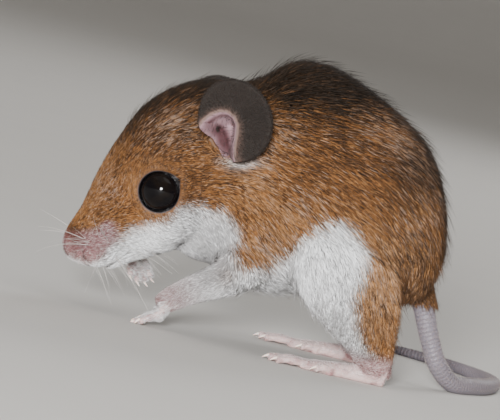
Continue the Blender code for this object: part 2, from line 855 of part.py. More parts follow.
def make_paw(name, sleeve, wrist, forward, side, up, sizes, curl):
    """A palm with digits and claws on the end of a sleeve, the limb's own form.

    Forward, side and up are the paw's axes, and curl bends the digits down.
    """
    palm_rows = []
    for share, wide, thick in ((-0.02, 0.42, 0.8), (0.35, 0.36, 0.72), (0.75, 0.46, 0.55), (1.0, 0.4, 0.42)):
        centre = wrist + forward * sizes["palm"] * share - up * sizes["thick"] * 0.5 * (1 - thick)
        palm_rows.append((*centre, sizes["width"] * wide, sizes["thick"] * thick * 0.62))
    rings = []
    for row in interpolate(palm_rows, 9):
        centre = Vector(row[:3])
        rings.append(oval(centre, side * row[3], up * row[4], up * row[4], 14, 2.3))
    pieces = [sleeve, loft("palm", rings)]
    claws = []
    digits = sizes["digits"]
    spread = sizes.get("set_back", [0.15] * len(digits))
    for i, length in enumerate(digits):
        share = -1 + 2 * i / (len(digits) - 1)
        heading = (forward + side * 0.34 * share).normalized()
        root = wrist + forward * (sizes["palm"] - spread[i] - 0.35) + side * share * sizes["width"] * 0.36
        root -= up * sizes["thick"] * 0.24
        rows = []
        for j in range(6):
            along = j / 5
            arch = math.sin(math.pi * min(1, along * 1.15)) * 0.16
            drop = curl * length * along**1.6
            point = root + heading * length * along * (1 - 0.3 * curl) + up * (arch - drop)
            knuckle = 1 + 0.12 * math.cos(along * 4 * math.pi)
            rows.append((*point, sizes["digit_r"] * (1 - 0.22 * along) * knuckle))
        pieces.append(tube("digit", rows, 10))
        tip = Vector(rows[-1][:3])
        down = (tip - Vector(rows[-2][:3])).normalized()
        claw_rows = []
        for j in range(4):
            along = j / 3
            point = tip + down * (CLAW["length"] * along - 0.25) + up * (0.14 - 0.3 * along**2)
            claw_rows.append((*point, CLAW["radius"] * (1 - 0.85 * along)))
        claws.append(tube("claw", claw_rows, 6))
    paw = blend(name, pieces, 0.12, 3)
    thin_out(paw, 170 * len(digits))
    boolean(paw, "UNION", claws)
    return paw


def part_at(limb, paw, name, point, heading):
    """Parts a limb and its paw at a plane across both, with a gap between the cut faces."""
    heading = Vector(heading).normalized()
    point = Vector(point)
    near = half(limb, limb.name + "_near", point - heading * GAP / 2, -heading)
    far = half(paw, name, point + heading * GAP / 2, heading)
    keep_largest(near)
    keep_largest(far)
    remove(limb)
    remove(paw)
    return near, stand_flat(far)


def add_fore_paws(nodes):
    side = Vector((0, -1, 0))
    forward = Vector((-0.55, 0.03, -0.83)).normalized()
    up = side.cross(forward).normalized()
    sleeve = tube("arm", interpolate(FORELEG_LEFT, 16), 20)
    up = up if up.z > 0 else -up
    paw = make_paw("paw", sleeve, Vector((0.75, -5.05, 2.75)), forward, side, up, FORE_PAW, -0.55)
    parted = part_at(nodes["foreleg_left"], paw, "forepaw_left", *WRIST_LEFT)
    nodes["foreleg_left"], nodes["forepaw_left"] = parted

    side = Vector((0.7, 0.7, 0)).normalized()
    forward = Vector((0.14, -0.08, -0.98)).normalized()
    up = side.cross(forward).normalized()
    up = up if up.x < 0 else -up
    sleeve = tube("arm", interpolate(FORELEG_RIGHT, 16), 20)
    paw = make_paw("paw", sleeve, Vector((-3.6, 5.5, 6.3)), forward, side, up, FORE_PAW, 0.3)
    parted = part_at(nodes["foreleg_right"], paw, "forepaw_right", *WRIST_RIGHT)
    nodes["foreleg_right"], nodes["forepaw_right"] = parted


def add_hind_foot(nodes, word, hand):
    shift = Vector((-RIGHT_LEG_FORWARD if hand == RIGHT else 0, 0, 0))
    heel = Vector((23.1, 7.65 * hand, 1.0)) + shift
    forward = Vector((-1, 0.1 * hand, -0.02)).normalized()
    side = Vector((0.1 * hand, 1, 0)).normalized()
    foot = make_paw("foot", hind_leg_form(hand), heel, forward, side, Vector((0, 0, 1)), HIND_PAW, 0.0)
    point, heading = ANKLE
    point = Vector(point) + shift
    parted = part_at(nodes["shank_" + word], foot, "hind_foot_" + word, point, heading)
    nodes["shank_" + word], nodes["hind_foot_" + word] = parted


def make_tail():
    path = interpolate(TAIL_PATH, 61)
    each = 60 // TAIL_LENGTHS
    nodes = {}
    for i in range(TAIL_LENGTHS):
        rows = path[i * each : (i + 1) * each + 1].copy()
        if i:
            heading = rows[1, :3] - rows[0, :3]
            rows[0, :3] += heading / np.linalg.norm(heading) * GAP
        name = f"tail_{i + 1}"
        nodes[name] = stand_flat(tube(name, rows, 12))
    return nodes


def finish(nodes, finishes):
    """Names, finishes and shades each node, and sets the whole on its origin, in metres."""
    low = Vector((1e9, 1e9, 1e9))
    high = -low
    for obj in nodes.values():
        for vert in obj.data.vertices:
            low = Vector(map(min, low, vert.co))
            high = Vector(map(max, high, vert.co))
    centre = Vector(((low.x + high.x) / 2, (low.y + high.y) / 2, low.z))
    to_place = Matrix.Scale(METRES, 4) @ Matrix.Translation(-centre)
    group = bpy.data.collections.new("pygmy_mouse")
    bpy.context.scene.collection.children.link(group)
    for name, obj in nodes.items():
        obj.name = name
        obj.data.name = name
        obj.data.transform(to_place)
        obj.data.materials.clear()
        obj.data.materials.append(bpy.data.materials[finishes(name)])
        obj.data.shade_smooth()
        obj.data.set_sharp_from_angle(angle=math.radians(45))
        group.objects.link(obj)
        bpy.context.scene.collection.objects.unlink(obj)


def finish_of(name):
    """The finish that each node wears."""
    if name.startswith("eye"):
        return "eye"
    if name.startswith("ear"):
        return "ear_skin"
    if name.startswith(("forepaw", "hind_foot", "tail", "muzzle")):
        return "pink_skin"
    if name.startswith("foreleg"):
        return "white_coat"
    return "coat"


def main():
    clear_scene()
    make_materials()
    nodes = make_core()
    make_whiskers(nodes["muzzle"])
    body = [obj for name, obj in nodes.items() if not name.startswith(("foreleg", "shank"))]
    for word, hand in SIDES:
        nodes["eye_" + word] = make_eye("eye_" + word, hand)
        seat(body, nodes["eye_" + word])
        nodes["ear_" + word] = make_ear("ear_" + word, hand)
        seat(body, nodes["ear_" + word], hollow=True)
        add_hind_foot(nodes, word, hand)
    add_fore_paws(nodes)
    nodes.update(make_tail())
    seat([nodes["rump"]], nodes["tail_1"])
    for name, obj in nodes.items():
        most = next(count for word, count in BUDGET.items() if name.startswith(word))
        clean(obj, most)
    finish(nodes, finish_of)


main()
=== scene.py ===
"""The looks of a life-size pygmy mouse: one skin, its coat in small tufts, eyes, whiskers, claws and a stage.

Shapes are made in millimetres, level with the floor and facing -X, as the solids' source makes them.
The last step of each piece scales it to metres and sets it in the frame.
"""

import math

import bmesh
import bpy
import numpy as np
from mathutils import Matrix, Vector, noise
from mathutils.bvhtree import BVHTree


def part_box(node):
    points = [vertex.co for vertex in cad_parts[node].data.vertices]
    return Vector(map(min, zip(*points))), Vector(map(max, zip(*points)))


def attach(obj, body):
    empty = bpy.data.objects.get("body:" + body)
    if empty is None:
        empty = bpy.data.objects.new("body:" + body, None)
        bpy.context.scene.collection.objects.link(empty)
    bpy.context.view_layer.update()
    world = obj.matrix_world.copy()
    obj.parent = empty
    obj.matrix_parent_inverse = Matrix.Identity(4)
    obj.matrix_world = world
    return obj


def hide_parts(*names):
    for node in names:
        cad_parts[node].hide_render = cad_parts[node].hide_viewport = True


bl_info = {
    "name": "Pygmy mouse",
    "version": (1, 0, 0),
    "blender": (4, 5, 0),
    "location": "View3D > Sidebar > Mouse",
    "description": "Makes the skin, coat, eyes, whiskers, claws and stage of a life-size pygmy mouse",
    "category": "Object",
}

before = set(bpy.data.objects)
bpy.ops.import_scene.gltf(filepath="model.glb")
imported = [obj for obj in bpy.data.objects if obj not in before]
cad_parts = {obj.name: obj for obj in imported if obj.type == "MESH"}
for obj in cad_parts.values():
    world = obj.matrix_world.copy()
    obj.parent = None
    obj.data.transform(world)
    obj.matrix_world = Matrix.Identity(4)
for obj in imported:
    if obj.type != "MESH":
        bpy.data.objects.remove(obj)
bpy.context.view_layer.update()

LEFT, RIGHT = -1, 1
SIDES = (("left", LEFT), ("right", RIGHT))
PAIRED = ("ear_", "thigh_", "shank_", "hind_foot_", "foreleg_", "forepaw_")
FLESH = ("head", "muzzle", "neck", "torso", "rump", "tail_1", "tail_2", "tail_3", "tail_4")
FLESH += tuple(part + side for part in PAIRED for side, _ in SIDES)
# The numbers of the skin's regions.
COAT_REGION, EAR_REGION, TAIL_REGION, PAW_REGION = 0, 2, 3, 4
# In millimetres, farther than anything on the animal.
FAR = 1e9
# What the steps hand on to each other.
MADE = {}

# The head's place: its nose tip, how it leans down and turns, and where it turns.
NOSE_TIP = Vector((-10.4, 0.0, 4.75))
HEAD_PITCH = math.radians(48.3)
HEAD_TURN = math.radians(5.0)
NECK_PIVOT = Vector((4.0, 0.0, 17.0))
# The head's rings: way back from the nose tip, height above, depth below, half width and level.
HEAD_STATIONS = (
    (-0.15, 0.3, 0.7, 0.45, -0.2),
    (0.25, 1.0, 1.6, 0.95, -0.3),
    (0.9, 1.6, 2.3, 1.35, -0.5),
    (2.0, 2.15, 3.15, 1.9, -0.8),
    (4.0, 2.95, 4.2, 2.7, -1.2),
    (6.3, 4.35, 5.1, 3.6, -1.2),
    (8.8, 5.65, 5.9, 4.75, -0.9),
    (11.5, 6.75, 6.3, 5.75, -0.8),
    (14.5, 7.7, 6.7, 6.5, -0.9),
    (17.5, 7.75, 7.1, 6.95, -1.0),
    (20.5, 6.9, 7.2, 6.95, -0.8),
    (23.0, 5.6, 6.6, 6.4, -0.5),
)
# Soft masses of the face, by middle and radii in the head's own axes.
WHISKER_PAD = {"at": (3.6, 1.65, -1.7), "radii": (2.5, 1.75, 1.75)}
CHEEK = {"at": (11.5, 3.4, -2.9), "radii": (4.2, 2.9, 2.7)}
CHIN = {"at": (4.9, 0.0, -3.35), "radii": (2.7, 1.35, 1.15)}
# The trunk's rings: place, top, bottom, half width and level.
TRUNK_STATIONS = (
    (-1.5, 23.6, 9.6, 6.1, 16.8),
    (1.5, 25.0, 7.9, 7.0, 16.0),
    (4.3, 26.5, 6.9, 7.8, 15.2),
    (7.0, 28.8, 5.6, 8.7, 14.5),
    (10.0, 29.4, 5.6, 9.5, 14.1),
    (13.5, 28.6, 6.3, 10.1, 14.0),
    (17.0, 27.1, 6.8, 10.4, 14.0),
    (20.0, 25.5, 7.1, 10.1, 13.8),
    (22.5, 23.5, 7.4, 9.0, 13.6),
    (24.6, 20.4, 7.8, 7.1, 13.3),
    (25.9, 17.0, 8.6, 4.7, 12.8),
    (26.5, 14.4, 9.8, 2.5, 12.2),
)
THROAT = {"at": (2.7, 0.0, 8.7), "radii": (2.6, 3.2, 1.7)}
JOWL = {"at": (-1.7, 3.0, 8.35), "radii": (2.2, 1.7, 1.35)}
EYE = {"at": (11.5, 4.5, 0.05), "radius": 2.15, "forward": 0.3, "upward": 0.12}
LID = {"opening": 2.42, "corner": 0.55, "lift": 0.95, "thickness": 0.46}
# Lines pressed into the nose. The cleft lies on the middle and gives back and up alone.
NOSTRIL = ((0.5, 0.75, -0.7), (0.85, 1.15, -0.45), (1.25, 1.4, -0.5))
NOSE_WING = ((1.5, 0.4, 1.3), (1.6, 1.2, 0.5), (1.5, 1.6, -0.6), (1.1, 1.35, -1.5))
CLEFT = ((-0.1, -0.9), (0.1, -1.5), (0.5, -2.2), (1.1, -2.9), (1.7, -3.6))
# The ear's sizes. Its lines are given across and up its cup, in radii.
EAR = {
    "canal": (19.4, 6.55, -0.6),
    "radius": 4.05,
    "thickness": 0.46,
    "depth": 0.9,
    "concha": 1.5,
    "ridge": 0.3,
    "low": (-0.1, -0.5),
    "fold": (
        (-0.95, -0.22),
        (-0.82, -0.03),
        (-0.64, 0.14),
        (-0.44, 0.23),
        (-0.23, 0.24),
        (-0.05, 0.13),
        (0.05, -0.07),
        (0.05, -0.32),
        (0.04, -0.56),
        (0.08, -0.78),
        (0.16, -0.95),
    ),
    "front_rim": ((0.0, -1.1), (-0.6, -1.0), (-1.1, -0.5)),
    "rise": 2.95,
    "stand_off": {LEFT: 2.0, RIGHT: 1.1},
    "face_forward": math.radians(28),
    "tip_out": {LEFT: math.radians(12), RIGHT: math.radians(30)},
}
EAR_FOLD = [Vector(point) for point in EAR["fold"]]
EAR_LOOP = EAR_FOLD + [Vector(point) for point in EAR["front_rim"]]
# The limbs from the body down: middle and radius, and for the hind leg half its length and width.
FORELEG_LEFT = (
    (8.6, -5.0, 10.0, 2.7),
    (7.0, -5.4, 7.6, 2.3),
    (5.4, -5.4, 6.15, 1.75),
    (3.8, -5.3, 5.1, 1.45),
    (2.2, -5.2, 4.0, 1.28),
    (0.9, -5.1, 2.95, 1.12),
    (0.1, -5.05, 2.2, 0.85),
)
FORELEG_RIGHT = (
    (7.5, 5.4, 10.8, 2.5),
    (5.2, 6.4, 9.7, 1.9),
    (3.0, 6.8, 9.2, 1.55),
    (0.8, 6.7, 8.8, 1.35),
    (-1.3, 6.2, 8.1, 1.2),
    (-3.0, 5.7, 7.0, 1.08),
    (-3.6, 5.5, 6.0, 0.85),
)
HIND_LEG = (
    (15.4, 6.2, 14.8, 3.4, 2.8),
    (16.4, 7.2, 12.2, 5.1, 3.7),
    (17.6, 7.6, 9.2, 5.4, 3.7),
    (18.7, 7.7, 6.8, 4.7, 3.1),
    (19.8, 7.7, 5.1, 3.6, 2.45),
    (20.9, 7.65, 3.6, 2.6, 2.0),
    (21.8, 7.6, 2.3, 1.95, 1.65),
    (22.2, 7.6, 0.5, 1.75, 1.5),
)
RIGHT_LEG_FORWARD = 1.2
# Paws: palm, its width and thickness, each digit's length, how far back it starts, and the digits' radius.
FORE_PAW = {
    "palm": 2.0,
    "width": 2.6,
    "thick": 1.4,
    "digits": (1.6, 2.0, 1.95, 1.5),
    "set_back": (0.15, 0.15, 0.15, 0.15),
    "digit_r": 0.38,
}
HIND_PAW = {
    "palm": 8.2,
    "width": 2.5,
    "thick": 1.8,
    "digits": (1.7, 3.2, 3.6, 3.3, 2.1),
    "set_back": (2.6, 0.25, 0.0, 0.25, 2.2),
    "digit_r": 0.42,
}
DIGIT_JOINTS = 12
CLAW = {"length": 0.85, "radius": 0.2, "tip": 0.012, "sunk": 0.22}
# The tail from its root: middle and radius.
TAIL_PATH = (
    (24.1, 0.0, 10.8, 1.25),
    (25.4, 0.0, 8.6, 1.1),
    (27.1, 0.1, 5.0, 0.98),
    (28.5, 0.5, 2.6, 0.95),
    (30.2, 2.0, 1.1, 0.92),
    (32.7, 5.2, 0.8, 0.88),
    (34.9, 10.2, 0.74, 0.82),
    (35.4, 15.6, 0.67, 0.75),
    (33.6, 20.8, 0.6, 0.67),
    (30.0, 25.0, 0.52, 0.58),
    (25.2, 27.6, 0.42, 0.48),
)
# Whiskers: root back, out and up; heading back, out and up; length.
WHISKERS = (
    (2.3, 1.7, 0.2, -0.35, 0.8, 0.95, 8.5),
    (2.6, 2.1, -0.9, -0.55, 0.95, 0.55, 10.5),
    (3.3, 2.5, -1.9, -0.25, 1.0, 0.1, 11.5),
    (4.2, 2.7, -0.7, 0.1, 1.0, 0.45, 12.5),
    (4.7, 2.9, -2.0, 0.35, 1.0, -0.05, 12.0),
    (3.9, 2.4, -2.9, 0.05, 0.85, -0.35, 8.5),
)

MILLIMETRE = 0.001
# The photograph's view: what it centres on, how far off it stands, its height, its roll and its lens.
VIEW_CENTRE = Vector((6.51, 0.0, 13.2))
VIEW_DISTANCE = 350.0
VIEW_RISE = math.radians(4.0)
VIEW_ROLL = math.radians(14.0)
VIEW_LENS = 252.0

# How deep the coat is, and how long its hair, by how far back a place lies along the head's axis.
COAT_DEPTH = (
    (0, 0.04), (2, 0.1), (4, 0.22), (6.5, 0.36), (9, 0.46), (14, 0.62), (18, 0.85), (22, 1.05), (27, 1.15),
)
HAIR_LENGTH = (
    (0, 0.4), (2, 0.58), (4, 0.76), (6.5, 0.92), (9, 1.06), (14, 1.35), (18, 1.7), (22, 2.05), (27, 2.25),
)

# The white underside's edge and other markings, in millimetres right of and above the view's centre.
# Spots have a size after their place.
WHITE_AREA = (
    (-18.6, -3.8), (-17.4, -4.6), (-16.2, -5.0), (-15.0, -4.2), (-14.0, -3.0), (-12.5, -2.5),
    (-11.0, -1.8), (-9.0, -1.4), (-8.0, -0.9), (-7.0, 0.0),
    (-6.0, 0.5), (-4.5, 0.2), (-3.5, -0.4), (-2.2, -0.7), (-1.4, -1.4), (-1.1, -3.0),
    (-1.4, -5.0), (-1.4, -5.9),
    (0.0, -6.1), (2.3, -5.8), (4.2, -4.7), (5.6, -3.2), (7.2, -2.2), (8.5, -1.5), (9.8, -1.5), (10.9, -2.9),
    (11.8, -4.8), (11.7, -6.5), (11.0, -8.1), (10.6, -9.5), (10.6, -12.0), (12.0, -15.0),
    (12.0, -30.0), (-25.0, -30.0), (-25.0, -3.8),
)
# Where the dark back begins: fur darker along the spine, deepened to near black as painted shadow over the
# head and back.
DORSAL_AND_SHADOW_LINE = (
    (-20.0, 4.0), (-12.0, 8.3), (-9.0, 9.9), (-5.0, 10.9), (0.0, 10.6), (4.0, 9.9), (13.0, 9.4), (15.0, 8.9),
    (18.0, 6.6), (21.0, 1.0),
)
MUZZLE_AREA = (
    (-19.5, -2.3), (-17.9, -2.0), (-17.0, -2.1), (-16.2, -2.1), (-15.3, -1.8), (-14.8, -1.3), (-14.2, -1.0),
    (-13.4, -1.4), (-12.8, -2.3), (-13.1, -3.0), (-13.9, -3.8), (-14.4, -4.7), (-15.1, -5.2),
    (-16.2, -5.3), (-17.4, -4.9), (-18.6, -4.2), (-19.5, -4.0),
)
NOSE_PATCH = (-17.5, -2.5, 0.85)
ROSE_LINE = ((-13.3, -2.0), (-16.4, -3.6))
EAR_FOOT = (-0.6, 4.7, 0.95)
EYE_CORNER = ((-7.9, 3.0), (-7.3, 2.85))
# The forepaws' wrists, and the way that each paw points.
FORE_WRISTS = (((0.75, -5.05, 2.75), (-0.55, 0.03, -0.83)), ((-3.6, 5.5, 6.3), (0.14, -0.08, -0.98)))
# Places where the coat is paler or darker than around: right, above, size and amount. Most are how the coat
# itself varies; the darker ones on cheeks, throat and rump are in part painted shade, and the paler ones on
# the thigh in part painted light.
TONE_LIGHT_AND_SHADE = (
    (0.5, 2.6, 3.0, 0.3), (4.0, -1.2, 2.6, 0.3), (14.0, -6.5, 3.9, 0.6), (9.0, 8.6, 3.6, -0.32),
    (-6.5, 9.0, 3.0, -0.1), (-9.5, 7.5, 2.8, -0.38), (10.0, 4.0, 4.0, -0.06), (6.0, 3.0, 2.4, -0.22),
    (16.5, 4.5, 3.6, -0.42), (-13.5, 0.5, 2.2, -0.12), (-17.5, -2.5, 0.95, -0.85),
    (-5.0, -3.6, 2.8, -0.4), (-2.6, -4.2, 2.2, -0.45), (8.0, -7.0, 4.0, 0.35), (-6.0, 1.5, 2.6, -0.25),
    (-4.5, -5.6, 2.4, -0.4), (1.0, -4.4, 2.2, 0.4), (13.0, -11.0, 3.2, 0.42),
)
# Places where more of its hairs are silvery.
FROST = (
    (15.3, 7.1, 1.9, 0.5), (16.9, 4.2, 2.0, 0.5), (12.2, 8.7, 1.8, 0.4), (3.4, 8.0, 1.6, 0.4),
    (5.8, 0.4, 1.6, 0.35), (15.8, -2.8, 2.2, 0.4), (1.6, -4.0, 2.0, 0.5), (2.0, 5.0, 1.8, 0.3),
    (-9.0, 8.0, 1.6, 0.25), (18.3, 0.5, 2.0, 0.35), (-14.0, 2.5, 1.6, 0.25), (-6.5, 8.6, 2.0, 0.5),
    (13.5, -9.0, 3.4, 0.2),
)
# Places where the coat is darker: in part duskier fur, in part painted shade, most of all on the rump where
# it turns from the light and on the crown.
DUSK_AND_SHADE = (
    (17.5, 3.8, 3.8, 0.72), (12.5, 7.5, 3.0, 0.12), (-9.5, 7.5, 3.0, 0.25), (-5.5, 8.8, 2.4, 0.5),
    (17.5, -5.0, 2.4, 0.35), (18.6, -8.4, 2.0, 0.62),
)
# Places where the white fur is tinted.
TINTS = ((-2.6, -6.4, 1.3, 0.4), (1.5, -5.6, 1.2, 0.3))

# Fine whiskers, given as the long ones.
FINE_WHISKERS = (
    (2.2, 1.3, -2.6, 0.15, 0.25, -0.95, 3.4), (3.4, 1.8, -3.4, 0.3, 0.3, -0.9, 3.8),
    (4.8, 2.1, -3.9, 0.5, 0.3, -0.8, 4.2), (6.4, 2.6, -4.2, 0.7, 0.35, -0.65, 4.6),
)

# Remeshing: the body's grain and smoothing steps, the whole skin's grain, and how many triangles it keeps.
BODY_VOXEL = 0.3
BODY_SMOOTHING = 11
SKIN_VOXEL = 0.14
SKIN_TRIANGLES = 194000
# How near a vertex lies to the form that it grew from, and up to what height the tail is bare.
REGION_REACH = 0.16
BARE_TAIL_TOP = 8.6
# The skin's lowest place over the floor, and the whiskers'.
SKIN_FLOOR = 0.02
WHISKER_FLOOR = 0.1

# The triangles of one tuft: point 0 is its root, 1 to 3 its widest part and 4 its tip.
BLADE = ((0, 1, 3), (0, 3, 2), (0, 2, 1), (4, 3, 1), (4, 2, 3), (4, 1, 2))
BLADE_ALONG = (0, 0.45, 0.45, 0.45, 1.0)
# The most tufts in one piece of coat.
PIECE_TUFTS = 33000
# Hairs in millimetres: how far round an eye's middle none grow, and how high over the floor they begin.
EYE_CLEARING = 2.5
LOWEST_TUFT = 1.0
# Shares of all tufts: long thin guard hairs, and hairs that are dark to the tip.
GUARD_SHARE = 0.05
TICKED_SHARE = 0.1
# How ticked a dark-tipped or a silvery hair is. 1 is full.
FULL_TICKING = 1.6
# Fine hair: its piece, region, length, width and how brown it is.
FUZZ = (
    ("ear_fuzz", EAR_REGION, 0.55, 0.036, 1.0),
    ("tail_hair", TAIL_REGION, 0.42, 0.024, 0.45),
    ("paw_hair", PAW_REGION, 0.45, 0.036, 0.0),
)
# The tail: from one coloured ring to the next, in millimetres, its joints, those to one ring, and its depth.
RING_STEP = 0.42
TAIL_JOINTS = 420
RING_JOINTS = 4
RING_DEPTH = 0.03
# The stage in metres: the floor's radius, the bend up to its wall, and the wall's height.
FLOOR = {"radius": 1.6, "bend": 0.16, "bend_steps": 10, "wall": 2.0}

# How the hair lies: places by x, distance from the middle, z, and the way of the hair there.
LIE = (
    (-9.0, 1.2, 7.5, 0.62, 0.1, 0.75),
    (-7.0, 2.5, 6.0, 0.8, 0.25, 0.4),
    (-6.5, 2.5, 3.2, 0.85, 0.2, 0.1),
    (-3.5, 0.0, 15.0, 0.6, 0.0, 0.8),
    (-2.0, 4.5, 9.0, 0.85, 0.25, 0.15),
    (0.0, 5.0, 5.8, 0.95, 0.1, -0.2),
    (-4.0, 4.0, 12.0, 0.62, 0.25, 0.65),
    (1.0, 5.5, 15.5, 0.85, 0.2, 0.3),
    (0.5, 0.0, 20.5, 0.8, 0.0, 0.55),
    (4.0, 6.8, 12.0, 0.85, 0.1, -0.45),
    (3.0, 6.0, 7.0, 0.75, 0.1, -0.55),
    (7.0, 0.0, 27.0, 0.95, 0.0, 0.25),
    (9.0, 8.0, 20.0, 0.92, 0.1, -0.3),
    (9.0, 9.0, 12.0, 0.88, 0.0, -0.45),
    (8.0, 5.0, 6.0, 0.95, -0.15, -0.2),
    (14.0, 0.0, 28.5, 0.98, 0.0, -0.1),
    (15.0, 9.5, 18.0, 0.9, 0.0, -0.42),
    (21.0, 0.0, 25.0, 0.75, 0.0, -0.6),
    (21.0, 8.0, 18.0, 0.72, 0.0, -0.68),
    (25.0, 4.0, 15.0, 0.3, 0.0, -0.95),
    (14.0, 9.5, 10.0, 0.55, 0.1, -0.8),
    (18.0, 10.0, 9.0, 0.35, 0.1, -0.93),
    (21.0, 9.5, 6.0, 0.2, 0.0, -0.97),
    (21.5, 8.0, 3.0, 0.05, 0.0, -1.0),
    (15.0, 4.0, 6.5, 0.9, 0.0, -0.3),
    (24.0, 4.0, 9.0, 0.1, -0.1, -0.98),
)


def only(obj):
    """Makes one object the selected and active one."""
    for other in bpy.context.selected_objects:
        other.select_set(False)
    obj.select_set(True)
    bpy.context.view_layer.objects.active = obj


def add_object(name, mesh):
    obj = bpy.data.objects.new(name, mesh)
    bpy.context.scene.collection.objects.link(obj)
    return obj


def apply_modifiers(obj):
    only(obj)
    for modifier in list(obj.modifiers):
        bpy.ops.object.modifier_apply(modifier=modifier.name)


def ellipsoid(name, centre, radii, turn=None, segments=24, rings=14):
    """A sphere added at the middle, stretched to its radii, turned and set in place."""
    bpy.ops.mesh.primitive_uv_sphere_add(segments=segments, ring_count=rings, radius=1.0, location=(0, 0, 0))
    obj = bpy.context.object
    obj.name = name
    shape = Matrix.Diagonal((*radii, 1.0))
    if turn is not None:
        shape = turn.to_4x4() @ shape
    obj.data.transform(Matrix.Translation(centre) @ shape)
    return obj


def joined(name, pieces):
    """One object holding all the pieces' surfaces, still loose from each other."""
    only(pieces[0])
    for piece in pieces[1:]:
        piece.select_set(True)
    bpy.ops.object.join()
    obj = bpy.context.object
    obj.name = name
    return obj


def blend(name, pieces, voxel, steps):
    """The pieces fused into one soft form, by remeshing and smoothing."""
    obj = joined(name, pieces)
    remesh = obj.modifiers.new("Fuse", "REMESH")
    remesh.mode = "VOXEL"
    remesh.voxel_size = voxel
    smooth = obj.modifiers.new("Soften", "SMOOTH")
    smooth.factor = 0.5
    smooth.iterations = steps
    apply_modifiers(obj)
    return obj


def solid_tree(obj):
    bpy.context.view_layer.update()
    return BVHTree.FromObject(obj, bpy.context.evaluated_depsgraph_get())


def interpolate(rows, count):
    """Rows of numbers read off a smooth curve through the given rows, evenly spaced by their first three."""
    rows = np.array(rows, float)
    steps = np.linalg.norm(np.diff(rows[:, :3], axis=0), axis=1)
    knots = np.concatenate([[0], np.cumsum(steps)])
    slopes = np.gradient(rows, knots, axis=0)
    places = np.linspace(0, knots[-1], count)
    index = np.clip(np.searchsorted(knots, places, side="right") - 1, 0, len(rows) - 2)
    width = (knots[index + 1] - knots[index])[:, None]
    t = (places - knots[index])[:, None] / width
    start, end = rows[index], rows[index + 1]
    return (
        start * (2 * t**3 - 3 * t**2 + 1)
        + slopes[index] * width * (t**3 - 2 * t**2 + t)
        + end * (3 * t**2 - 2 * t**3)
        + slopes[index + 1] * width * (t**3 - t**2)
    )


def object_of(name, bm):
    """A new object from a bmesh, with its normals made to agree."""
    bmesh.ops.recalc_face_normals(bm, faces=bm.faces)
    mesh = bpy.data.meshes.new(name)
    bm.to_mesh(mesh)
    bm.free()
    return add_object(name, mesh)


def bridge(bm, first, second):
    """Faces all round between two rings of vertices."""
    for i in range(len(first)):
        j = (i + 1) % len(first)
        bm.faces.new((first[i], first[j], second[j], second[i]))


def loft(name, rings):
    """A closed solid through rings of points, with a flat face on each end."""
    bm = bmesh.new()
    made = [[bm.verts.new(point) for point in ring] for ring in rings]
    for first, second in zip(made, made[1:]):
        bridge(bm, first, second)
    bm.faces.new(list(reversed(made[0])))
    bm.faces.new(made[-1])
    return object_of(name, bm)


def oval(centre, side, above, below, sides, fullness=2.0):
    """A ring of points whose upper and lower halves may differ. Above 2, fullness squares it."""
    ring = []
    for i in range(sides):
        angle = 2 * math.pi * i / sides
        cos, sin = math.cos(angle), math.sin(angle)
        across = math.copysign(abs(cos) ** (2 / fullness), cos)
        along = math.copysign(abs(sin) ** (2 / fullness), sin)
        ring.append(centre + side * across + (above if along > 0 else below) * along)
    return ring


def ring_tube(name, points, radius, sides):
    """A closed ring of round section through the points."""
    count = len(points)
    centre = sum(points, Vector()) / count
    bm = bmesh.new()
    rings = []
    for i, point in enumerate(points):
        tangent = (points[(i + 1) % count] - points[i - 1]).normalized()
        lift = tangent.cross(point - centre).normalized()
        out = lift.cross(tangent)
        ring = oval(point, out * radius, lift * radius, lift * radius, sides)
        rings.append([bm.verts.new(place) for place in ring])
    for first, second in zip(rings, rings[1:] + rings[:1]):
        bridge(bm, first, second)
    return object_of(name, bm)


def tube(name, rows, sides):
    """A tapered round limb along rows of x, y, z and radius."""
    points = [Vector(row[:3]) for row in rows]
    rings = []
    for i, row in enumerate(rows):
        ahead = points[min(i + 1, len(points) - 1)]
        behind = points[max(i - 1, 0)]
        tangent = (ahead - behind).normalized()
        side = tangent.cross(Vector((0, 0, 1)))
        if side.length < 0.2:
            side = tangent.cross(Vector((1, 0, 0)))
        side.normalize()
        lift = side.cross(tangent).normalized() * row[3]
        rings.append(oval(points[i], side * row[3], lift, lift, sides))
    return loft(name, rings)


def thin_out(obj, triangles):
    """Fewer, larger triangles where the form is calm."""
    triangulate = obj.modifiers.new("Triangles", "TRIANGULATE")
    triangulate.quad_method = "BEAUTY"
    apply_modifiers(obj)
    decimate = obj.modifiers.new("Fewer", "DECIMATE")
    decimate.ratio = min(1.0, triangles / len(obj.data.polygons))
    apply_modifiers(obj)


def head_axes():
    turn = Matrix.Rotation(HEAD_TURN, 3, "Z")
    back = turn @ Vector((math.cos(HEAD_PITCH), 0, math.sin(HEAD_PITCH)))
    side = turn @ Vector((0, 1, 0))
    up = turn @ Vector((-math.sin(HEAD_PITCH), 0, math.cos(HEAD_PITCH)))
    origin = NECK_PIVOT + turn @ (NOSE_TIP - NECK_PIVOT)
    return origin, back, side, up


def head_point(back, side, up):
    """A place given by how far it lies back from the nose tip, to the side and above the head's axis."""
    origin, along, across, above = head_axes()
    return origin + along * back + across * side + above * up


def head_turn():
    """The turn from upright axes to the head's own: back, side and up."""
    _, back, side, up = head_axes()
    return Matrix((back, side, up)).transposed()


def head_form():
    _, _, side, up = head_axes()
    rows = [(back, 0, 0, *sizes) for back, *sizes in HEAD_STATIONS]
    rings = []
    for back, _, _, above, below, half_width, level in interpolate(rows, 34):
        centre = head_point(back, 0, level)
        rings.append(oval(centre, side * half_width, up * (above - level), up * (below + level), 40))
    pieces = [loft("skull", rings)]
    turn = head_turn()
    for spot in (WHISKER_PAD, CHEEK):
        back, out, height = spot["at"]
        for hand in (LEFT, RIGHT):
            pieces.append(ellipsoid("mass", head_point(back, out * hand, height), spot["radii"], turn))
    pieces.append(ellipsoid("chin", head_point(*CHIN["at"]), CHIN["radii"], turn))
    return pieces


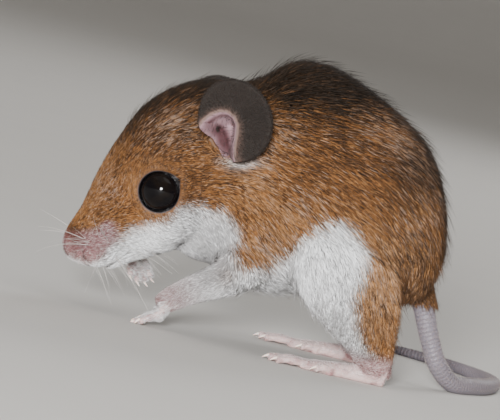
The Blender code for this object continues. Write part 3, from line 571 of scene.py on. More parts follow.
def trunk_form():
    rows = [(x, 0, 0, *sizes) for x, *sizes in TRUNK_STATIONS]
    rings = []
    for x, _, _, top, bottom, half_width, level in interpolate(rows, 40):
        centre = Vector((x, 0, level))
        side = Vector((0, half_width, 0))
        above, below = Vector((0, 0, top - level)), Vector((0, 0, level - bottom))
        rings.append(oval(centre, side, above, below, 48, 2.1))
    x, y, z = JOWL["at"]
    masses = [ellipsoid("throat", Vector(THROAT["at"]), THROAT["radii"])]
    masses += [ellipsoid("jowl", Vector((x, y * hand, z)), JOWL["radii"]) for hand in (LEFT, RIGHT)]
    return [loft("trunk", rings)] + masses


def leg_shift(hand):
    """How far the right hind leg stands ahead of the left."""
    return Vector((-RIGHT_LEG_FORWARD if hand == RIGHT else 0, 0, 0))


def hind_leg_form(hand):
    rows = [(x, side * hand, up, long, wide) for x, side, up, long, wide in HIND_LEG]
    rings = []
    for x, y, z, long, wide in interpolate(rows, 20):
        centre = Vector((x, y, z)) + leg_shift(hand)
        along = Vector((long, 0, long * 0.12))
        across = Vector((0, wide, 0))
        rings.append(oval(centre, along, across, across, 24))
    return loft("leg", rings)


def limb_forms():
    legs = [hind_leg_form(hand) for hand in (LEFT, RIGHT)]
    arms = [tube("arm", interpolate(rows, 16), 20) for rows in (FORELEG_LEFT, FORELEG_RIGHT)]
    return legs + arms


def surface_path(tree, points):
    """The points moved onto a surface."""
    return [tree.find_nearest(point)[0] for point in points]


def within(places, rows, margin):
    """Which places lie in the box round some rows, or no farther from it than the margin."""
    low, high = rows.min(axis=0) - margin, rows.max(axis=0) + margin
    return np.flatnonzero(((places > low) & (places < high)).all(axis=1))


def press(mesh, path, radius, depth):
    """Sinks a soft groove along a path on the surface."""
    places, normals = coordinates(mesh), directions(mesh)
    path = np.array(path, float)
    near = within(places, path, 3 * radius)
    away = np.full(len(near), FAR)
    for start, end in zip(path, path[1:]):
        span = end - start
        share = np.clip((places[near] - start) @ span / max(span @ span, 1e-9), 0, 1)
        off = places[near] - (start + share[:, None] * span)
        away = np.minimum(away, np.linalg.norm(off, axis=1))
    moves = -depth * np.exp(-((away / radius) ** 2))
    places[near] += normals[near] * moves[:, None]
    set_coordinates(mesh, places)


def gaze_of(hand):
    """The way an eye looks: out, a little ahead and up."""
    _, along, across, above = head_axes()
    return (across * hand - along * EYE["forward"] + above * EYE["upward"]).normalized()


def lid_form(hand):
    """The rim of both lids round the eyeball, drawn out to a point at the rear corner."""
    _, along, _, above = head_axes()
    gaze = gaze_of(hand)
    rear = (along - gaze * along.dot(gaze)).normalized()
    top = (above - gaze * above.dot(gaze) - rear * above.dot(rear)).normalized()
    count = 32
    points = []
    for i in range(count):
        angle = 2 * math.pi * i / count
        reach = LID["opening"] + LID["corner"] * max(0, math.cos(angle)) ** 10
        flat = rear * math.cos(angle) + top * math.sin(angle) * 0.97
        points.append(eye_centre(hand) + gaze * LID["lift"] + flat * reach)
    return ring_tube("lid", points, LID["thickness"], 10)


def mouth_path(tree):
    """The mouth line, from corner to corner under the nose."""
    points = []
    for i in range(21):
        across = -1 + i / 10
        back = 1.7 + 3.6 * abs(across) ** 1.5
        points.append(head_point(back, 2.3 * across, -3.5 - 0.2 * (1 - abs(across))))
    return surface_path(tree, points)


def ear_axes(hand):
    """Back along the ear's rim plane, up it, and out of the cup."""
    forward, outward = EAR["face_forward"], EAR["tip_out"][hand]
    back = Vector((math.cos(forward), hand * math.sin(forward), 0.12)).normalized()
    up = Vector((-0.05, hand * math.sin(outward), math.cos(outward)))
    up = (up - back * up.dot(back)).normalized()
    out = back.cross(up) * -hand
    return back, up, out.normalized()


def fold_distance(place):
    """How far a place on the ear lies from its fold, in radii."""
    return min(distance_to_span(place, start, end) for start, end in zip(EAR_FOLD, EAR_FOLD[1:]))


def ear_depth(u, v):
    """How deep the ear's inner face lies under its rim, at a place across, u, and up, v, in radii."""
    depth = EAR["depth"] * max(0.0, 1 - (u * u + v * v)) ** 1.15
    place = Vector((u, v))
    off = fold_distance(place)
    if inside_loop(place, EAR_LOOP):
        depth += EAR["concha"] * min(1.0, off / 0.32) ** 1.5
    return depth - EAR["ridge"] * math.exp(-((off / 0.1) ** 2))


def distance_to_span(place, start, end):
    span = end - start
    share = max(0.0, min(1.0, (place - start).dot(span) / span.length_squared))
    return (place - start - span * share).length


def inside_loop(place, loop):
    """Whether a place on the ear lies inside a closed line."""
    inside = False
    for start, end in zip(loop, loop[1:] + loop[:1]):
        if (start.y > place.y) != (end.y > place.y):
            crossing = start.x + (place.y - start.y) / (end.y - start.y) * (end.x - start.x)
            inside ^= place.x < crossing
    return inside


def ear_centre(hand):
    canal = head_point(EAR["canal"][0], EAR["canal"][1] * hand, EAR["canal"][2])
    _, up, _ = ear_axes(hand)
    return canal + up * EAR["rise"] + Vector((0, hand * EAR["stand_off"][hand], 0))


def ear_point(hand, u, v, behind=0.0):
    """A place on the ear's inner face, or a way behind it."""
    back, up, out = ear_axes(hand)
    place = ear_centre(hand) + (back * u + up * v) * EAR["radius"]
    return place - out * (ear_depth(u, v) + behind)


def coordinates(mesh):
    """Every vertex of a mesh, as rows of x, y, z."""
    rows = np.empty(len(mesh.vertices) * 3)
    mesh.vertices.foreach_get("co", rows)
    return rows.reshape(-1, 3)


def directions(mesh):
    """The vertex normals of a mesh."""
    rows = np.empty(len(mesh.vertices) * 3)
    mesh.vertex_normals.foreach_get("vector", rows)
    return rows.reshape(-1, 3)


def set_coordinates(mesh, rows):
    mesh.vertices.foreach_set("co", rows.ravel())
    mesh.update()


def smoothed(obj):
    """The object, with its faces shaded smooth."""
    only(obj)
    bpy.ops.object.shade_smooth()
    return obj


def distance(points, centre):
    """How far each point lies from one place."""
    return np.linalg.norm(points - np.array(centre), axis=1)


def step(low, high, values):
    """Rises softly from 0 at the low value to 1 at the high one."""
    share = np.clip((values - low) / (high - low), 0, 1)
    return share * share * (3 - 2 * share)


def head_places(points):
    """Each point's way back from the nose tip, to the side, and above the head's axis."""
    origin, along, across, above = head_axes()
    off = points - np.array(origin)
    return off @ np.array(along), off @ np.array(across), off @ np.array(above)


def table(rows, values):
    """Values read off a line through a table's pairs."""
    places, sizes = zip(*rows)
    return np.interp(values, places, sizes)


def eye_centre(hand):
    back, out, height = EYE["at"]
    return head_point(back, out * hand, height)


def spans(points, path):
    """Each straight piece of a path: its ends, how far along it each point lies, and how far off."""
    rows = np.array(path, float)
    for start, end in zip(rows, rows[1:]):
        span = end[:3] - start[:3]
        share = np.clip((points - start[:3]) @ span / (span @ span), 0, 1)
        yield start, end, share, np.linalg.norm(points - start[:3] - share[:, None] * span, axis=1)


def limb_shares(points, path):
    """How far down a limb's path each point lies, from 0 to 1, and how far off it in its radii."""
    best = np.full(len(points), FAR)
    shares = np.zeros(len(points))
    for i, (start, end, share, off) in enumerate(spans(points, path)):
        off = off / (start[3] + (end[3] - start[3]) * share)
        shares = np.where(off < best, (i + share) / (len(path) - 1), shares)
        best = np.minimum(off, best)
    return shares, best


def leg_falls(points):
    """From 1 on the body down to 0 at wrists and ankles, for all four limbs."""
    falls = np.ones(len(points))
    for path in (FORELEG_LEFT, FORELEG_RIGHT):
        shares, off = limb_shares(points, path)
        on_limb = 1 - step(1.15, 1.7, off)
        falls = np.minimum(falls, 1 - on_limb * step(0.15, 0.75, shares))
    behind = (points[:, 0] > 13) & (np.abs(points[:, 1]) > 3.5)
    falls = np.where(behind, np.minimum(falls, step(1.8, 9.0, points[:, 2])), falls)
    return falls


def coat_depth(points):
    """How far under the solids' surface the skin lies."""
    back, _, _ = head_places(points)
    depth = table(COAT_DEPTH, back) * (0.05 + 0.95 * leg_falls(points))
    for hand in (LEFT, RIGHT):
        depth = depth * (0.1 + 0.9 * step(2.9, 4.6, distance(points, eye_centre(hand))))
        ear_root = ear_point(hand, *EAR["low"], 1.2)
        depth = depth * (0.45 + 0.55 * step(2.0, 4.0, distance(points, ear_root)))
    return depth


def hair_length(points):
    """How long the coat's hair is: short on face and limbs, a fringe under the chin, long on the back."""
    back, _, height = head_places(points)
    length = table(HAIR_LENGTH, back) * (0.22 + 0.78 * leg_falls(points))
    length += 0.4 * step(1.4, 2.8, -height) * (1 - step(5.0, 8.0, back)) * (back > 0.3)
    for hand in (LEFT, RIGHT):
        length = length * (0.45 + 0.55 * step(2.7, 4.2, distance(points, eye_centre(hand))))
    off = np.linalg.norm(points - np.array(TAIL_PATH[0][:3]) + np.array((0, 0, 1.0)), axis=1)
    return length * (0.4 + 0.6 * step(3.0, 7.5, off))


def paw(sleeve, wrist, forward, side, up, sizes, curl):
    """A palm with jointed digits on the end of a limb's own form. Returns it and where its claws go."""
    palm_rows = []
    for share, wide, thick in ((-0.02, 0.42, 0.8), (0.35, 0.36, 0.72), (0.75, 0.46, 0.55), (1.0, 0.4, 0.42)):
        centre = wrist + forward * sizes["palm"] * share - up * sizes["thick"] * 0.5 * (1 - thick)
        palm_rows.append((*centre, sizes["width"] * wide, sizes["thick"] * thick * 0.62))
    rings = []
    for row in interpolate(palm_rows, 12):
        rings.append(oval(Vector(row[:3]), side * row[3], up * row[4], up * row[4], 20, 2.3))
    pieces = [sleeve, loft("palm", rings)]
    claws = []
    digits, set_back, radius = sizes["digits"], sizes["set_back"], sizes["digit_r"]
    for i, length in enumerate(digits):
        share = -1 + 2 * i / (len(digits) - 1)
        heading = (forward + side * 0.34 * share).normalized()
        root = wrist + forward * (sizes["palm"] - set_back[i] - 0.35) + side * share * sizes["width"] * 0.36
        root -= up * sizes["thick"] * 0.24
        pad = root + forward * 0.1 - up * radius * 0.75
        pieces.append(ellipsoid("pad", pad, [radius * 0.95, radius * 0.95, radius * 0.75], None, 12, 8))
        rows = []
        for j in range(DIGIT_JOINTS):
            along = j / (DIGIT_JOINTS - 1)
            arch = math.sin(math.pi * min(1, along * 1.15)) * 0.16
            drop = curl * length * along**1.6
            point = root + heading * length * along * (1 - 0.3 * curl) + up * (arch - drop)
            end_swell = 0.14 * math.exp(-(((along - 0.95) / 0.12) ** 2))
            knuckle = 1 + 0.13 * math.cos(along * 4 * math.pi) + end_swell
            rows.append((*point, radius * (1 - 0.24 * along) * knuckle))
        pieces.append(tube("digit", rows, 14))
        tip = Vector(rows[-1][:3])
        down = (tip - Vector(rows[-3][:3])).normalized()
        claws.append((tip, down, up))
    return pieces, claws


def sleeve_of(path):
    """The lower part of a foreleg, as deep under the solid as the rest of the skin."""
    rows = interpolate(path, 24)[10:]
    depths = coat_depth(np.array([row[:3] for row in rows]))
    return tube("arm", [(*row[:3], row[3] - depth) for row, depth in zip(rows, depths)], 24)


def fore_paw(path, number, side, facing, curl):
    """A forepaw on its sleeve, its back turned to the way that it faces."""
    wrist, forward = FORE_WRISTS[number]
    forward = Vector(forward).normalized()
    up = side.cross(forward).normalized()
    up = up if up.dot(facing) > 0 else -up
    return paw(sleeve_of(path), Vector(wrist), forward, side, up, FORE_PAW, curl)


def hind_paw(hand):
    """A hind foot flat on the floor, with its ankle."""
    shift = leg_shift(hand)
    heel = Vector((23.1, 7.65 * hand, 1.0)) + shift
    forward = Vector((-1, 0.1 * hand, -0.02)).normalized()
    side = Vector((0.1 * hand, 1, 0)).normalized()
    ankle = ellipsoid("ankle", Vector((22.1, 7.6 * hand, 1.6)) + shift, (1.5, 1.2, 1.5))
    return paw(ankle, heel, forward, side, Vector((0, 0, 1)), HIND_PAW, 0.0)


def all_paws():
    """The four paws' forms and their claws' places, set as in the solids, and the forms that are bare."""
    made = [
        fore_paw(FORELEG_LEFT, 0, Vector((0, -1, 0)), Vector((0, 0, 1)), -0.55),
        fore_paw(FORELEG_RIGHT, 1, Vector((0.7, 0.7, 0)).normalized(), Vector((-1, 0, 0)), 0.3),
        hind_paw(LEFT),
        hind_paw(RIGHT),
    ]
    pieces, claws, bare = [], [], []
    for forms, places in made:
        pieces += forms
        claws += places
        bare += forms[1:]
    return pieces, claws, bare


def ear_sheet(hand):
    """The ear's thin cup with its concha and fold, on a short root, as two closed forms."""
    rings, spokes = 30, 96
    low_u, low_v = EAR["low"]
    middle = ear_point(hand, low_u, low_v)
    bm = bmesh.new()
    centre = bm.verts.new(middle)
    made = []
    for r in range(1, rings + 1):
        ring = []
        for s in range(spokes):
            angle = 2 * math.pi * s / spokes
            size = 1 + 0.05 * math.cos(angle - math.radians(60)) + 0.012 * math.sin(3 * angle + 1)
            u = low_u + (size * math.cos(angle) - low_u) * r / rings
            v = low_v + (size * math.sin(angle) - low_v) * r / rings
            ring.append(bm.verts.new(ear_point(hand, u, v)))
        made.append(ring)
    for s in range(spokes):
        t = (s + 1) % spokes
        bm.faces.new((centre, made[0][s], made[0][t]))
        for inner, outer in zip(made, made[1:]):
            bm.faces.new((inner[s], outer[s], outer[t], inner[t]))
    ear = object_of("ear", bm)
    solidify = ear.modifiers.new("Thickness", "SOLIDIFY")
    solidify.thickness = EAR["thickness"]
    solidify.offset = 0
    apply_modifiers(ear)
    root_top = ear_point(hand, low_u - 0.05, low_v - 0.05, 0.9)
    canal = head_point(EAR["canal"][0] + 0.5, (EAR["canal"][1] - 1.8) * hand, EAR["canal"][2])
    root_rows = [(*canal, 1.7), (*canal.lerp(root_top, 0.5), 1.6), (*root_top, 0.95)]
    return [ear, tube("root", interpolate(root_rows, 9), 20)]


def tail_form():
    """The tail as one tapered tube with a rounded tip, its skin drawn into fine rings."""
    path = interpolate(TAIL_PATH, TAIL_JOINTS)
    path[:, 3] *= 1 + RING_DEPTH * np.cos(np.arange(TAIL_JOINTS) * 2 * math.pi / RING_JOINTS)
    path[-3:, 3] *= (0.9, 0.7, 0.35)
    return tube("tail", [tuple(row) for row in path], 20)


def face_lines(skin):
    """Nostrils, the wings of the nose, the cleft and the mouth, pressed in finer than in the solids."""
    tree = solid_tree(skin)
    for hand in (LEFT, RIGHT):
        for line, depth in ((NOSTRIL, 0.42), (NOSE_WING, 0.2)):
            path = [head_point(back, side * hand, up) for back, side, up in line]
            press(skin.data, surface_path(tree, path), 0.22, depth)
    press(skin.data, mouth_path(tree), 0.2, 0.42)
    cleft = [head_point(back, 0, up) for back, up in CLEFT]
    press(skin.data, surface_path(tree, cleft), 0.15, 0.26)
    for hand in (LEFT, RIGHT):
        slit = [ear_point(hand, -0.51 - 0.42 * (v + 0.52), v) for v in (-0.22, -0.45, -0.7, -0.9)]
        press(skin.data, slit, 0.3, 0.34)


def ear_places(points, hand):
    """Each point's place across and up the ear, in its radii, and how far it lies out of the rim's plane."""
    back, up, out = (np.array(axis) for axis in ear_axes(hand))
    off = points - np.array(ear_centre(hand))
    return off @ back / EAR["radius"], off @ up / EAR["radius"], off @ out


def ear_depths(u, v):
    """The depth of the ear's inner face at many places, read off a table of it."""
    count, reach = 61, 1.2
    edge = np.linspace(-reach, reach, count)
    if "ear_depths" not in MADE:
        MADE["ear_depths"] = np.array([[ear_depth(a, b) for b in edge] for a in edge])
    i, j = (
        np.clip(((value + reach) / (2 * reach) * (count - 1)).round().astype(int), 0, count - 1)
        for value in (u, v)
    )
    return MADE["ear_depths"][i, j]


def open_ears(body):
    """Sinks the head under each ear's cup, so that no flesh fills its hollow."""
    places = coordinates(body.data)
    for hand in (LEFT, RIGHT):
        u, v, off = ear_places(places, hand)
        reach = np.hypot(u, v)
        floor = -ear_depths(u, v) - 0.45
        held = (reach < 1.35) & (off > floor) & (off < 5) & (places[:, 1] * hand > 0)
        share = (1 - step(1.0, 1.35, reach)) * held
        _, _, out = ear_axes(hand)
        places += np.array(out) * ((floor - off) * share)[:, None]
    set_coordinates(body.data, places)


def make_form():
    """The whole skin: the body sunk by the coat's depth, with ears, lids, paws and tail grown from it."""
    body = blend("skin", head_form() + trunk_form() + limb_forms(), BODY_VOXEL, BODY_SMOOTHING)
    places = coordinates(body.data)
    places -= directions(body.data) * coat_depth(places)[:, None]
    set_coordinates(body.data, places)
    open_ears(body)
    for hand in (LEFT, RIGHT):
        body = joined("skin", [body, lid_form(hand)])
    paws, claws, bare = all_paws()
    ears = ear_sheet(LEFT) + ear_sheet(RIGHT)
    tail = tail_form()
    sources = {
        region: [form.data.copy() for form in forms]
        for region, forms in ((PAW_REGION, bare), (TAIL_REGION, [tail]), (EAR_REGION, ears))
    }
    skin = blend("skin", [body, tail] + paws + ears, SKIN_VOXEL, 2)
    face_lines(skin)
    thin_out(skin, SKIN_TRIANGLES)
    places = coordinates(skin.data)
    places[:, 2] = np.maximum(places[:, 2], SKIN_FLOOR)
    set_coordinates(skin.data, places)
    return skin, claws, sources


def view_axes():
    """The photograph's own axes: right, above and towards the camera."""
    cos_roll, sin_roll = math.cos(VIEW_ROLL), math.sin(VIEW_ROLL)
    cos_rise, sin_rise = math.cos(VIEW_RISE), math.sin(VIEW_RISE)
    right = (cos_roll, sin_roll * sin_rise, sin_roll * cos_rise)
    above = (-sin_roll, cos_roll * sin_rise, cos_roll * cos_rise)
    return right, above, (0, -cos_rise, sin_rise)


def side_view(points):
    """How far right of and above the view's centre each point shows, seen from its own side of the body."""
    off = points - np.array(VIEW_CENTRE)
    off[:, 1] = -np.abs(points[:, 1])
    right, above, _ = view_axes()
    nearer = VIEW_DISTANCE / (VIEW_DISTANCE + off[:, 1])
    return off @ np.array(right) * nearer, off @ np.array(above) * nearer


def inside_by(area, right, above):
    """How far inside an area's edge each place lies. Places outside get less than 0."""
    best = np.full(len(right), FAR)
    inside = np.zeros(len(right), bool)
    for line in zip(area, area[1:] + area[:1]):
        best = np.minimum(best, line_distance(line, right, above))
        (x0, y0), (x1, y1) = line
        with np.errstate(divide="ignore", invalid="ignore"):
            meets = x0 + (above - y0) / (y1 - y0) * (x1 - x0)
        inside ^= ((y0 > above) != (y1 > above)) & (right < meets)
    return np.where(inside, best, -best)


def drift(points, scale, seed):
    """Soft noise from -1 to 1 that changes over about the scale, in millimetres."""
    shift = Vector((seed * 17.3, seed * 5.1, seed * 9.7))
    return np.array([noise.noise(Vector(point) / scale + shift) for point in points])


def on_feet(points, low):
    """1 on the hind feet up to the low height, 0 elsewhere."""
    return (1 - step(low, 3.4, points[:, 2])) * (points[:, 0] > 6) * (np.abs(points[:, 1]) > 3.4)


def paw_share(points):
    """1 on bare paws and feet, 0 above wrists and ankles."""
    share = np.zeros(len(points))
    for path in (FORELEG_LEFT, FORELEG_RIGHT):
        down, off = limb_shares(points, path)
        share = np.maximum(share, 0.9 * step(0.3, 1.0, down) * (1 - step(1.3, 1.8, off)))
    for wrist, forward in FORE_WRISTS:
        ahead = (points - np.array(wrist)) @ np.array(forward)
        off = np.linalg.norm(points - np.array(wrist) - np.outer(ahead, forward), axis=1)
        on_paw = step(-0.5, 0.4, ahead) * (1 - step(5.0, 5.6, ahead)) * (1 - step(1.9, 2.6, off))
        share = np.maximum(share, on_paw)
    return np.maximum(share, on_feet(points, 2.0))


def line_distance(line, right, above):
    """How far each place in the side view lies from a line between two places."""
    (x0, y0), (x1, y1) = line
    span_x, span_y = x1 - x0, y1 - y0
    share = ((right - x0) * span_x + (above - y0) * span_y) / (span_x**2 + span_y**2)
    share = np.clip(share, 0, 1)
    return np.hypot(right - x0 - share * span_x, above - y0 - share * span_y)


def blob(right, above, x, y, size):
    """1 at a place in the side view, fading softly to 0 round it."""
    return np.exp(-((right - x) ** 2 + (above - y) ** 2) / size**2)


def eye_corner(points):
    """1 on the dark rear corner of each eye, 0 elsewhere."""
    right, above = side_view(points)
    eyes_right, eyes_above = side_view(np.array([eye_centre(LEFT), eye_centre(RIGHT)]))
    far = points[:, 1] > 0
    right = right - far * (eyes_right[1] - eyes_right[0])
    above = above - far * (eyes_above[1] - eyes_above[0])
    corner = 1 - step(0.2, 0.42, line_distance(EYE_CORNER, right, above))
    near = np.zeros(len(points), bool)
    for hand in (LEFT, RIGHT):
        near |= distance(points, eye_centre(hand)) < 3.6
    return corner * near


def markings(points, ragged=0.0):
    """White underside, dark back (darker fur with painted shadow) and bare skin from 0 to 1 at each point,
    and how ticked its hair is.
    """
    right, above = side_view(points)
    over = above - table(DORSAL_AND_SHADOW_LINE, right)
    white = inside_by(WHITE_AREA, right, above) + 0.35 * drift(points, 1.6, 1) + ragged
    white = step(-0.7, 0.75, white)
    for *spot, amount in TINTS:
        white *= 1 - amount * blob(right, above, *spot)
    # The dark back: darker fur along the spine, with painted shadow over it.
    dark = step(-1.5, 1.1, over + 0.7 * drift(points, 1.4, 2) + 2.2 * ragged)
    # A dark band over the crown: darker fur with painted shadow.
    band = 3.6 + 0.6 * drift(points, 2.5, 4) - np.abs(points[:, 1]) + ragged
    band = step(-2.0, 1.5, band) * step(-15.5, -11.0, right) * step(11.5, 14.5, points[:, 2])
    dark = np.maximum(dark, 0.85 * band)
    # Darker fur and painted shade, rising softly towards the dark back.
    dark = np.maximum(dark, 0.3 * step(-7.0, 0.5, over))
    # Darker places: duskier fur and painted shade.
    for *spot, amount in DUSK_AND_SHADE:
        dark = np.maximum(dark, amount * blob(right, above, *spot))
    ear_foot = ((right - EAR_FOOT[0]) / 1.6) ** 2 + ((above - EAR_FOOT[1]) / 0.65) ** 2
    white = np.maximum(white, 0.62 * np.exp(-ear_foot / EAR_FOOT[2] ** 2))
    muzzle = step(-0.45, 0.5, inside_by(MUZZLE_AREA, right, above) + 0.2 * drift(points, 0.8, 3))
    bare = np.maximum(muzzle, paw_share(points))
    shoulder = np.exp(-(((right - 1.0) / 4.5) ** 2) - ((above - 3.0) / 5.0) ** 2)
    rump = step(12.0, 18.5, right)
    face = 1 - step(-15.5, -11.5, right)
    ticking = 0.3 + 0.6 * step(-7.5, 0.5, over) + 0.35 * shoulder + 0.45 * rump + 0.4 * face
    return np.stack([white, dark, bare], axis=1), np.clip(ticking, 0, 1)


def tones(points):
    """How much paler or darker than usual the coat is at each point, in part painted light and shade, and its
    share of silvery hairs.
    """
    right, above = side_view(points)
    tone_and_light = 0.12 * drift(points, 1.8, 9)
    frost = np.full(len(points), 0.04)
    for sums, spots in ((tone_and_light, TONE_LIGHT_AND_SHADE), (frost, FROST)):
        for *spot, amount in spots:
            sums += amount * blob(right, above, *spot)
    return tone_and_light, np.clip(frost * (1 + 0.8 * drift(points, 0.9, 10)), 0, 1)


def path_flow(points, path):
    """The way down a path of places at each point, and how far off the path it lies."""
    best = np.full(len(points), FAR)
    flow = np.zeros((len(points), 3))
    for start, end, _, off in spans(points, path):
        span = (end - start)[:3]
        flow[off < best] = span / np.linalg.norm(span)
        best = np.minimum(off, best)
    return flow, best


def unit(rows):
    return rows / np.maximum(np.linalg.norm(rows, axis=1), 1e-9)[:, None]


def between(first, second, share):
    """Rows between the first and the second, by a share for each."""
    return first * (1 - share[:, None]) + second * share[:, None]


def tail_root(points):
    """The way down the tail at each point, and 1 on the coat round its root, 0 elsewhere."""
    down, off = path_flow(points, TAIL_PATH)
    return down, (1 - step(1.6, 3.2, off)) * step(2.5, 4.5, points[:, 2])


def hair_flow(points, normals):
    """The way the coat lies at each point: from nose to tail, round the eyes and ears and down the limbs."""
    folded = points.copy()
    folded[:, 1] = np.abs(points[:, 1])
    flow = np.zeros_like(points)
    for row in np.array(LIE):
        weight = 1 / (((folded - row[:3]) ** 2).sum(axis=1) + 1.5) ** 2
        flow += weight[:, None] * row[3:]
    flow = unit(flow)
    flow[:, 1] *= np.tanh(points[:, 1])
    for path in (FORELEG_LEFT, FORELEG_RIGHT):
        down, _ = path_flow(points, path)
        share, off = limb_shares(points, path)
        flow = between(flow, down, (1 - step(1.2, 2.0, off)) * step(0.0, 0.3, share))
    flow = between(flow, *tail_root(points))
    flow = between(flow, np.array((-1.0, 0, -0.15)), on_feet(points, 2.2))
    for hand in (LEFT, RIGHT):
        off = points - np.array(eye_centre(hand))
        reach = np.linalg.norm(off, axis=1)
        flow += unit(off) * (1.3 * (1 - step(2.3, 4.8, reach)))[:, None]
    return along_surface(flow, normals)


def along_surface(flow, normals):
    """Ways without their part along the normals, one long."""
    return unit(flow - normals * (flow * normals).sum(axis=1)[:, None])


def nearest(tree, places, reach):
    """The nearest place on a surface to each place, and its normal. Far ones stay where they are."""
    found = places.copy()
    normals = np.zeros_like(places)
    for i, place in enumerate(places):
        near, normal, _, off = tree.find_nearest(place)
        normals[i] = normal
        if off < reach[i]:
            found[i] = near
    return found, normals


class Skin:
    """The skin's surface as arrays, to grow hair from."""

    def __init__(self, obj):
        self.tree = solid_tree(obj)
        mesh = obj.data
        self.points, self.normals = coordinates(mesh), directions(mesh)
        count = len(mesh.polygons)
        self.faces = np.empty(count * 3, np.int64)
        mesh.loops.foreach_get("vertex_index", self.faces)
        self.faces = self.faces.reshape(-1, 3)
        uv = np.empty(count * 6)
        mesh.uv_layers["OFBake"].data.foreach_get("uv", uv)
        self.uv = uv.reshape(-1, 3, 2)
        corners = self.points[self.faces]
        cross = np.cross(corners[:, 1] - corners[:, 0], corners[:, 2] - corners[:, 0])
        self.areas = np.linalg.norm(cross, axis=1) / 2

    def scatter(self, density, count, chance):
        """Roots spread over the skin by density, given at its vertices: places, normals and map places."""
        mass = np.cumsum(self.areas * density[self.faces].mean(axis=1))
        picks = (np.arange(count) + chance.random(count)) / count * mass[-1]
        face = np.minimum(np.searchsorted(mass, picks), len(mass) - 1)
        a, b = chance.random(count), chance.random(count)
        over = a + b > 1
        a[over], b[over] = 1 - a[over], 1 - b[over]
        shares = np.stack([1 - a - b, a, b], axis=1)
        corners = self.faces[face]
        places = (self.points[corners] * shares[:, :, None]).sum(axis=1)
        normals = unit((self.normals[corners] * shares[:, :, None]).sum(axis=1))
        uv = (self.uv[face] * shares[:, :, None]).sum(axis=1)
        return places, normals, uv


def turned(flow, normals, angles):
    """Ways on the surface turned by angles about its normals."""
    across = np.cross(normals, flow)
    return flow * np.cos(angles)[:, None] + across * np.sin(angles)[:, None]


def in_ears(places):
    """Which places lie inside the cup of an ear or in front of it."""
    inside = np.zeros(len(places), bool)
    for hand in (LEFT, RIGHT):
        u, v, off = ear_places(places, hand)
        front = off > -ear_depths(u, v) - 0.1
        inside |= (np.hypot(u, v) < 1.04) & front & (off < 3.5) & (places[:, 1] * hand > 0)
    return inside


def clear_of_ears(roots, middle, tip):
    """Shortens the tufts that would cross an ear's cup, in place, and says which to keep."""
    root_in = in_ears(roots)
    crossing = (in_ears(middle) | in_ears(tip)) & ~root_in
    for ends in (middle, tip):
        ends[crossing] = roots[crossing] + (ends[crossing] - roots[crossing]) * 0.4
    still = crossing & (in_ears(middle) | in_ears(tip))
    return ~(root_in | still)


def write(mesh, name, values):
    """Puts a number or three for each vertex on a mesh, where its material reads them."""
    kind, field = ("FLOAT_VECTOR", "vector") if values.ndim == 2 else ("FLOAT", "value")
    mesh.attributes.new(name, kind, "POINT").data.foreach_set(field, values.ravel())


def grow(name, skin, rows, sink=0.12, clear=True):
    """One mesh of tufts: closed three-sided blades that widen from a sunk root and taper to a fine tip.

    The rows hold roots, normals, map places, ways, lengths, widths, how high each tip stands off the skin,
    marks, shades and ticking.
    """
    roots, normals, uv, flow, length, width, rise, marks, shade, ticking = rows
    middle, middle_normals = nearest(skin.tree, roots + flow * length[:, None] * 0.45, length)
    tip, tip_normals = nearest(skin.tree, roots + flow * length[:, None], length)
    middle += middle_normals * (rise * 0.66)[:, None]
    tip += tip_normals * rise[:, None]
    kept = clear_of_ears(roots, middle, tip) if clear else np.ones(len(roots), bool)
    roots, normals, uv, flow, width = (row[kept] for row in (roots, normals, uv, flow, width))
    middle, middle_normals, tip = (row[kept] for row in (middle, middle_normals, tip))
    marks, shade, ticking = (row[kept] for row in (marks, shade, ticking))
    across = unit(np.cross(normals, flow))
    half = (width / 2)[:, None]
    sides = [middle - across * half, middle + across * half, middle + middle_normals * half * 0.8]
    points = np.stack([roots - normals * sink, *sides, tip], axis=1)
    count, size = len(roots), len(BLADE_ALONG)
    corners = (np.arange(count)[:, None] * size + np.array(BLADE).ravel()).ravel()
    mesh = bpy.data.meshes.new(name)
    mesh.vertices.add(count * size)
    mesh.loops.add(len(corners))
    mesh.polygons.add(len(corners) // 3)
    mesh.vertices.foreach_set("co", points.ravel())
    mesh.loops.foreach_set("vertex_index", corners.astype(np.int32))
    mesh.polygons.foreach_set("loop_start", np.arange(0, len(corners), 3, dtype=np.int32))
    mesh.polygons.foreach_set("use_smooth", np.ones(len(corners) // 3, bool))
    mesh.update(calc_edges=True)
    along = np.array(BLADE_ALONG)
    sideways = np.array((0, -1, 1, 0, 0)) * 0.0008
    patch = uv[:, None, :] + np.stack([sideways, along * 0.003], axis=1)[None]
    layer = mesh.uv_layers.new(name="OFBake")
    layer.data.foreach_set("uv", np.clip(patch, 0, 1).reshape(-1, 2)[corners].ravel())
    write(mesh, "marks", np.repeat(marks, size, axis=0))
    shares = [np.tile(along, count), np.repeat(shade, size), np.repeat(ticking, size)]
    write(mesh, "strand", np.stack(shares, axis=1))
    return add_object(name, mesh)


def coat_region(points):
    """The name of the coat piece that each root belongs to."""
    back, _, _ = head_places(points)
    names = np.where(points[:, 0] < 12.5, "torso", "rump").astype("<U8")
    names[(points[:, 2] < 10.5) & (points[:, 0] > 11)] = "leg"
    names[(back < 21) & (points[:, 0] < 5.2) & (points[:, 2] > 4.5)] = "head"
    names[(back < 9.5) & (points[:, 0] < -1.5) & (np.abs(points[:, 1]) < 5.2)] = "muzzle"
    sides = np.where(points[:, 1] < 0, "_left", "_right")
    return np.char.add(names, sides)


def tuft_width(length):
    return 0.034 + 0.022 * length


def coat_density(skin, regions):
    """How thickly the tufts stand at each vertex of the skin: none on eyes, ears, tail and bare paws."""
    length = hair_length(skin.points)
    density = 1 / (length * tuft_width(length) + 0.025)
    marks, _ = markings(skin.points)
    density *= 1 - 0.2 * marks[:, 2]
    density[regions != COAT_REGION] = 0
    for hand in (LEFT, RIGHT):
        density[distance(skin.points, eye_centre(hand)) < EYE_CLEARING] = 0
    density *= 1 - eye_corner(skin.points)
    density[skin.points[:, 2] < LOWEST_TUFT] = 0
    return density


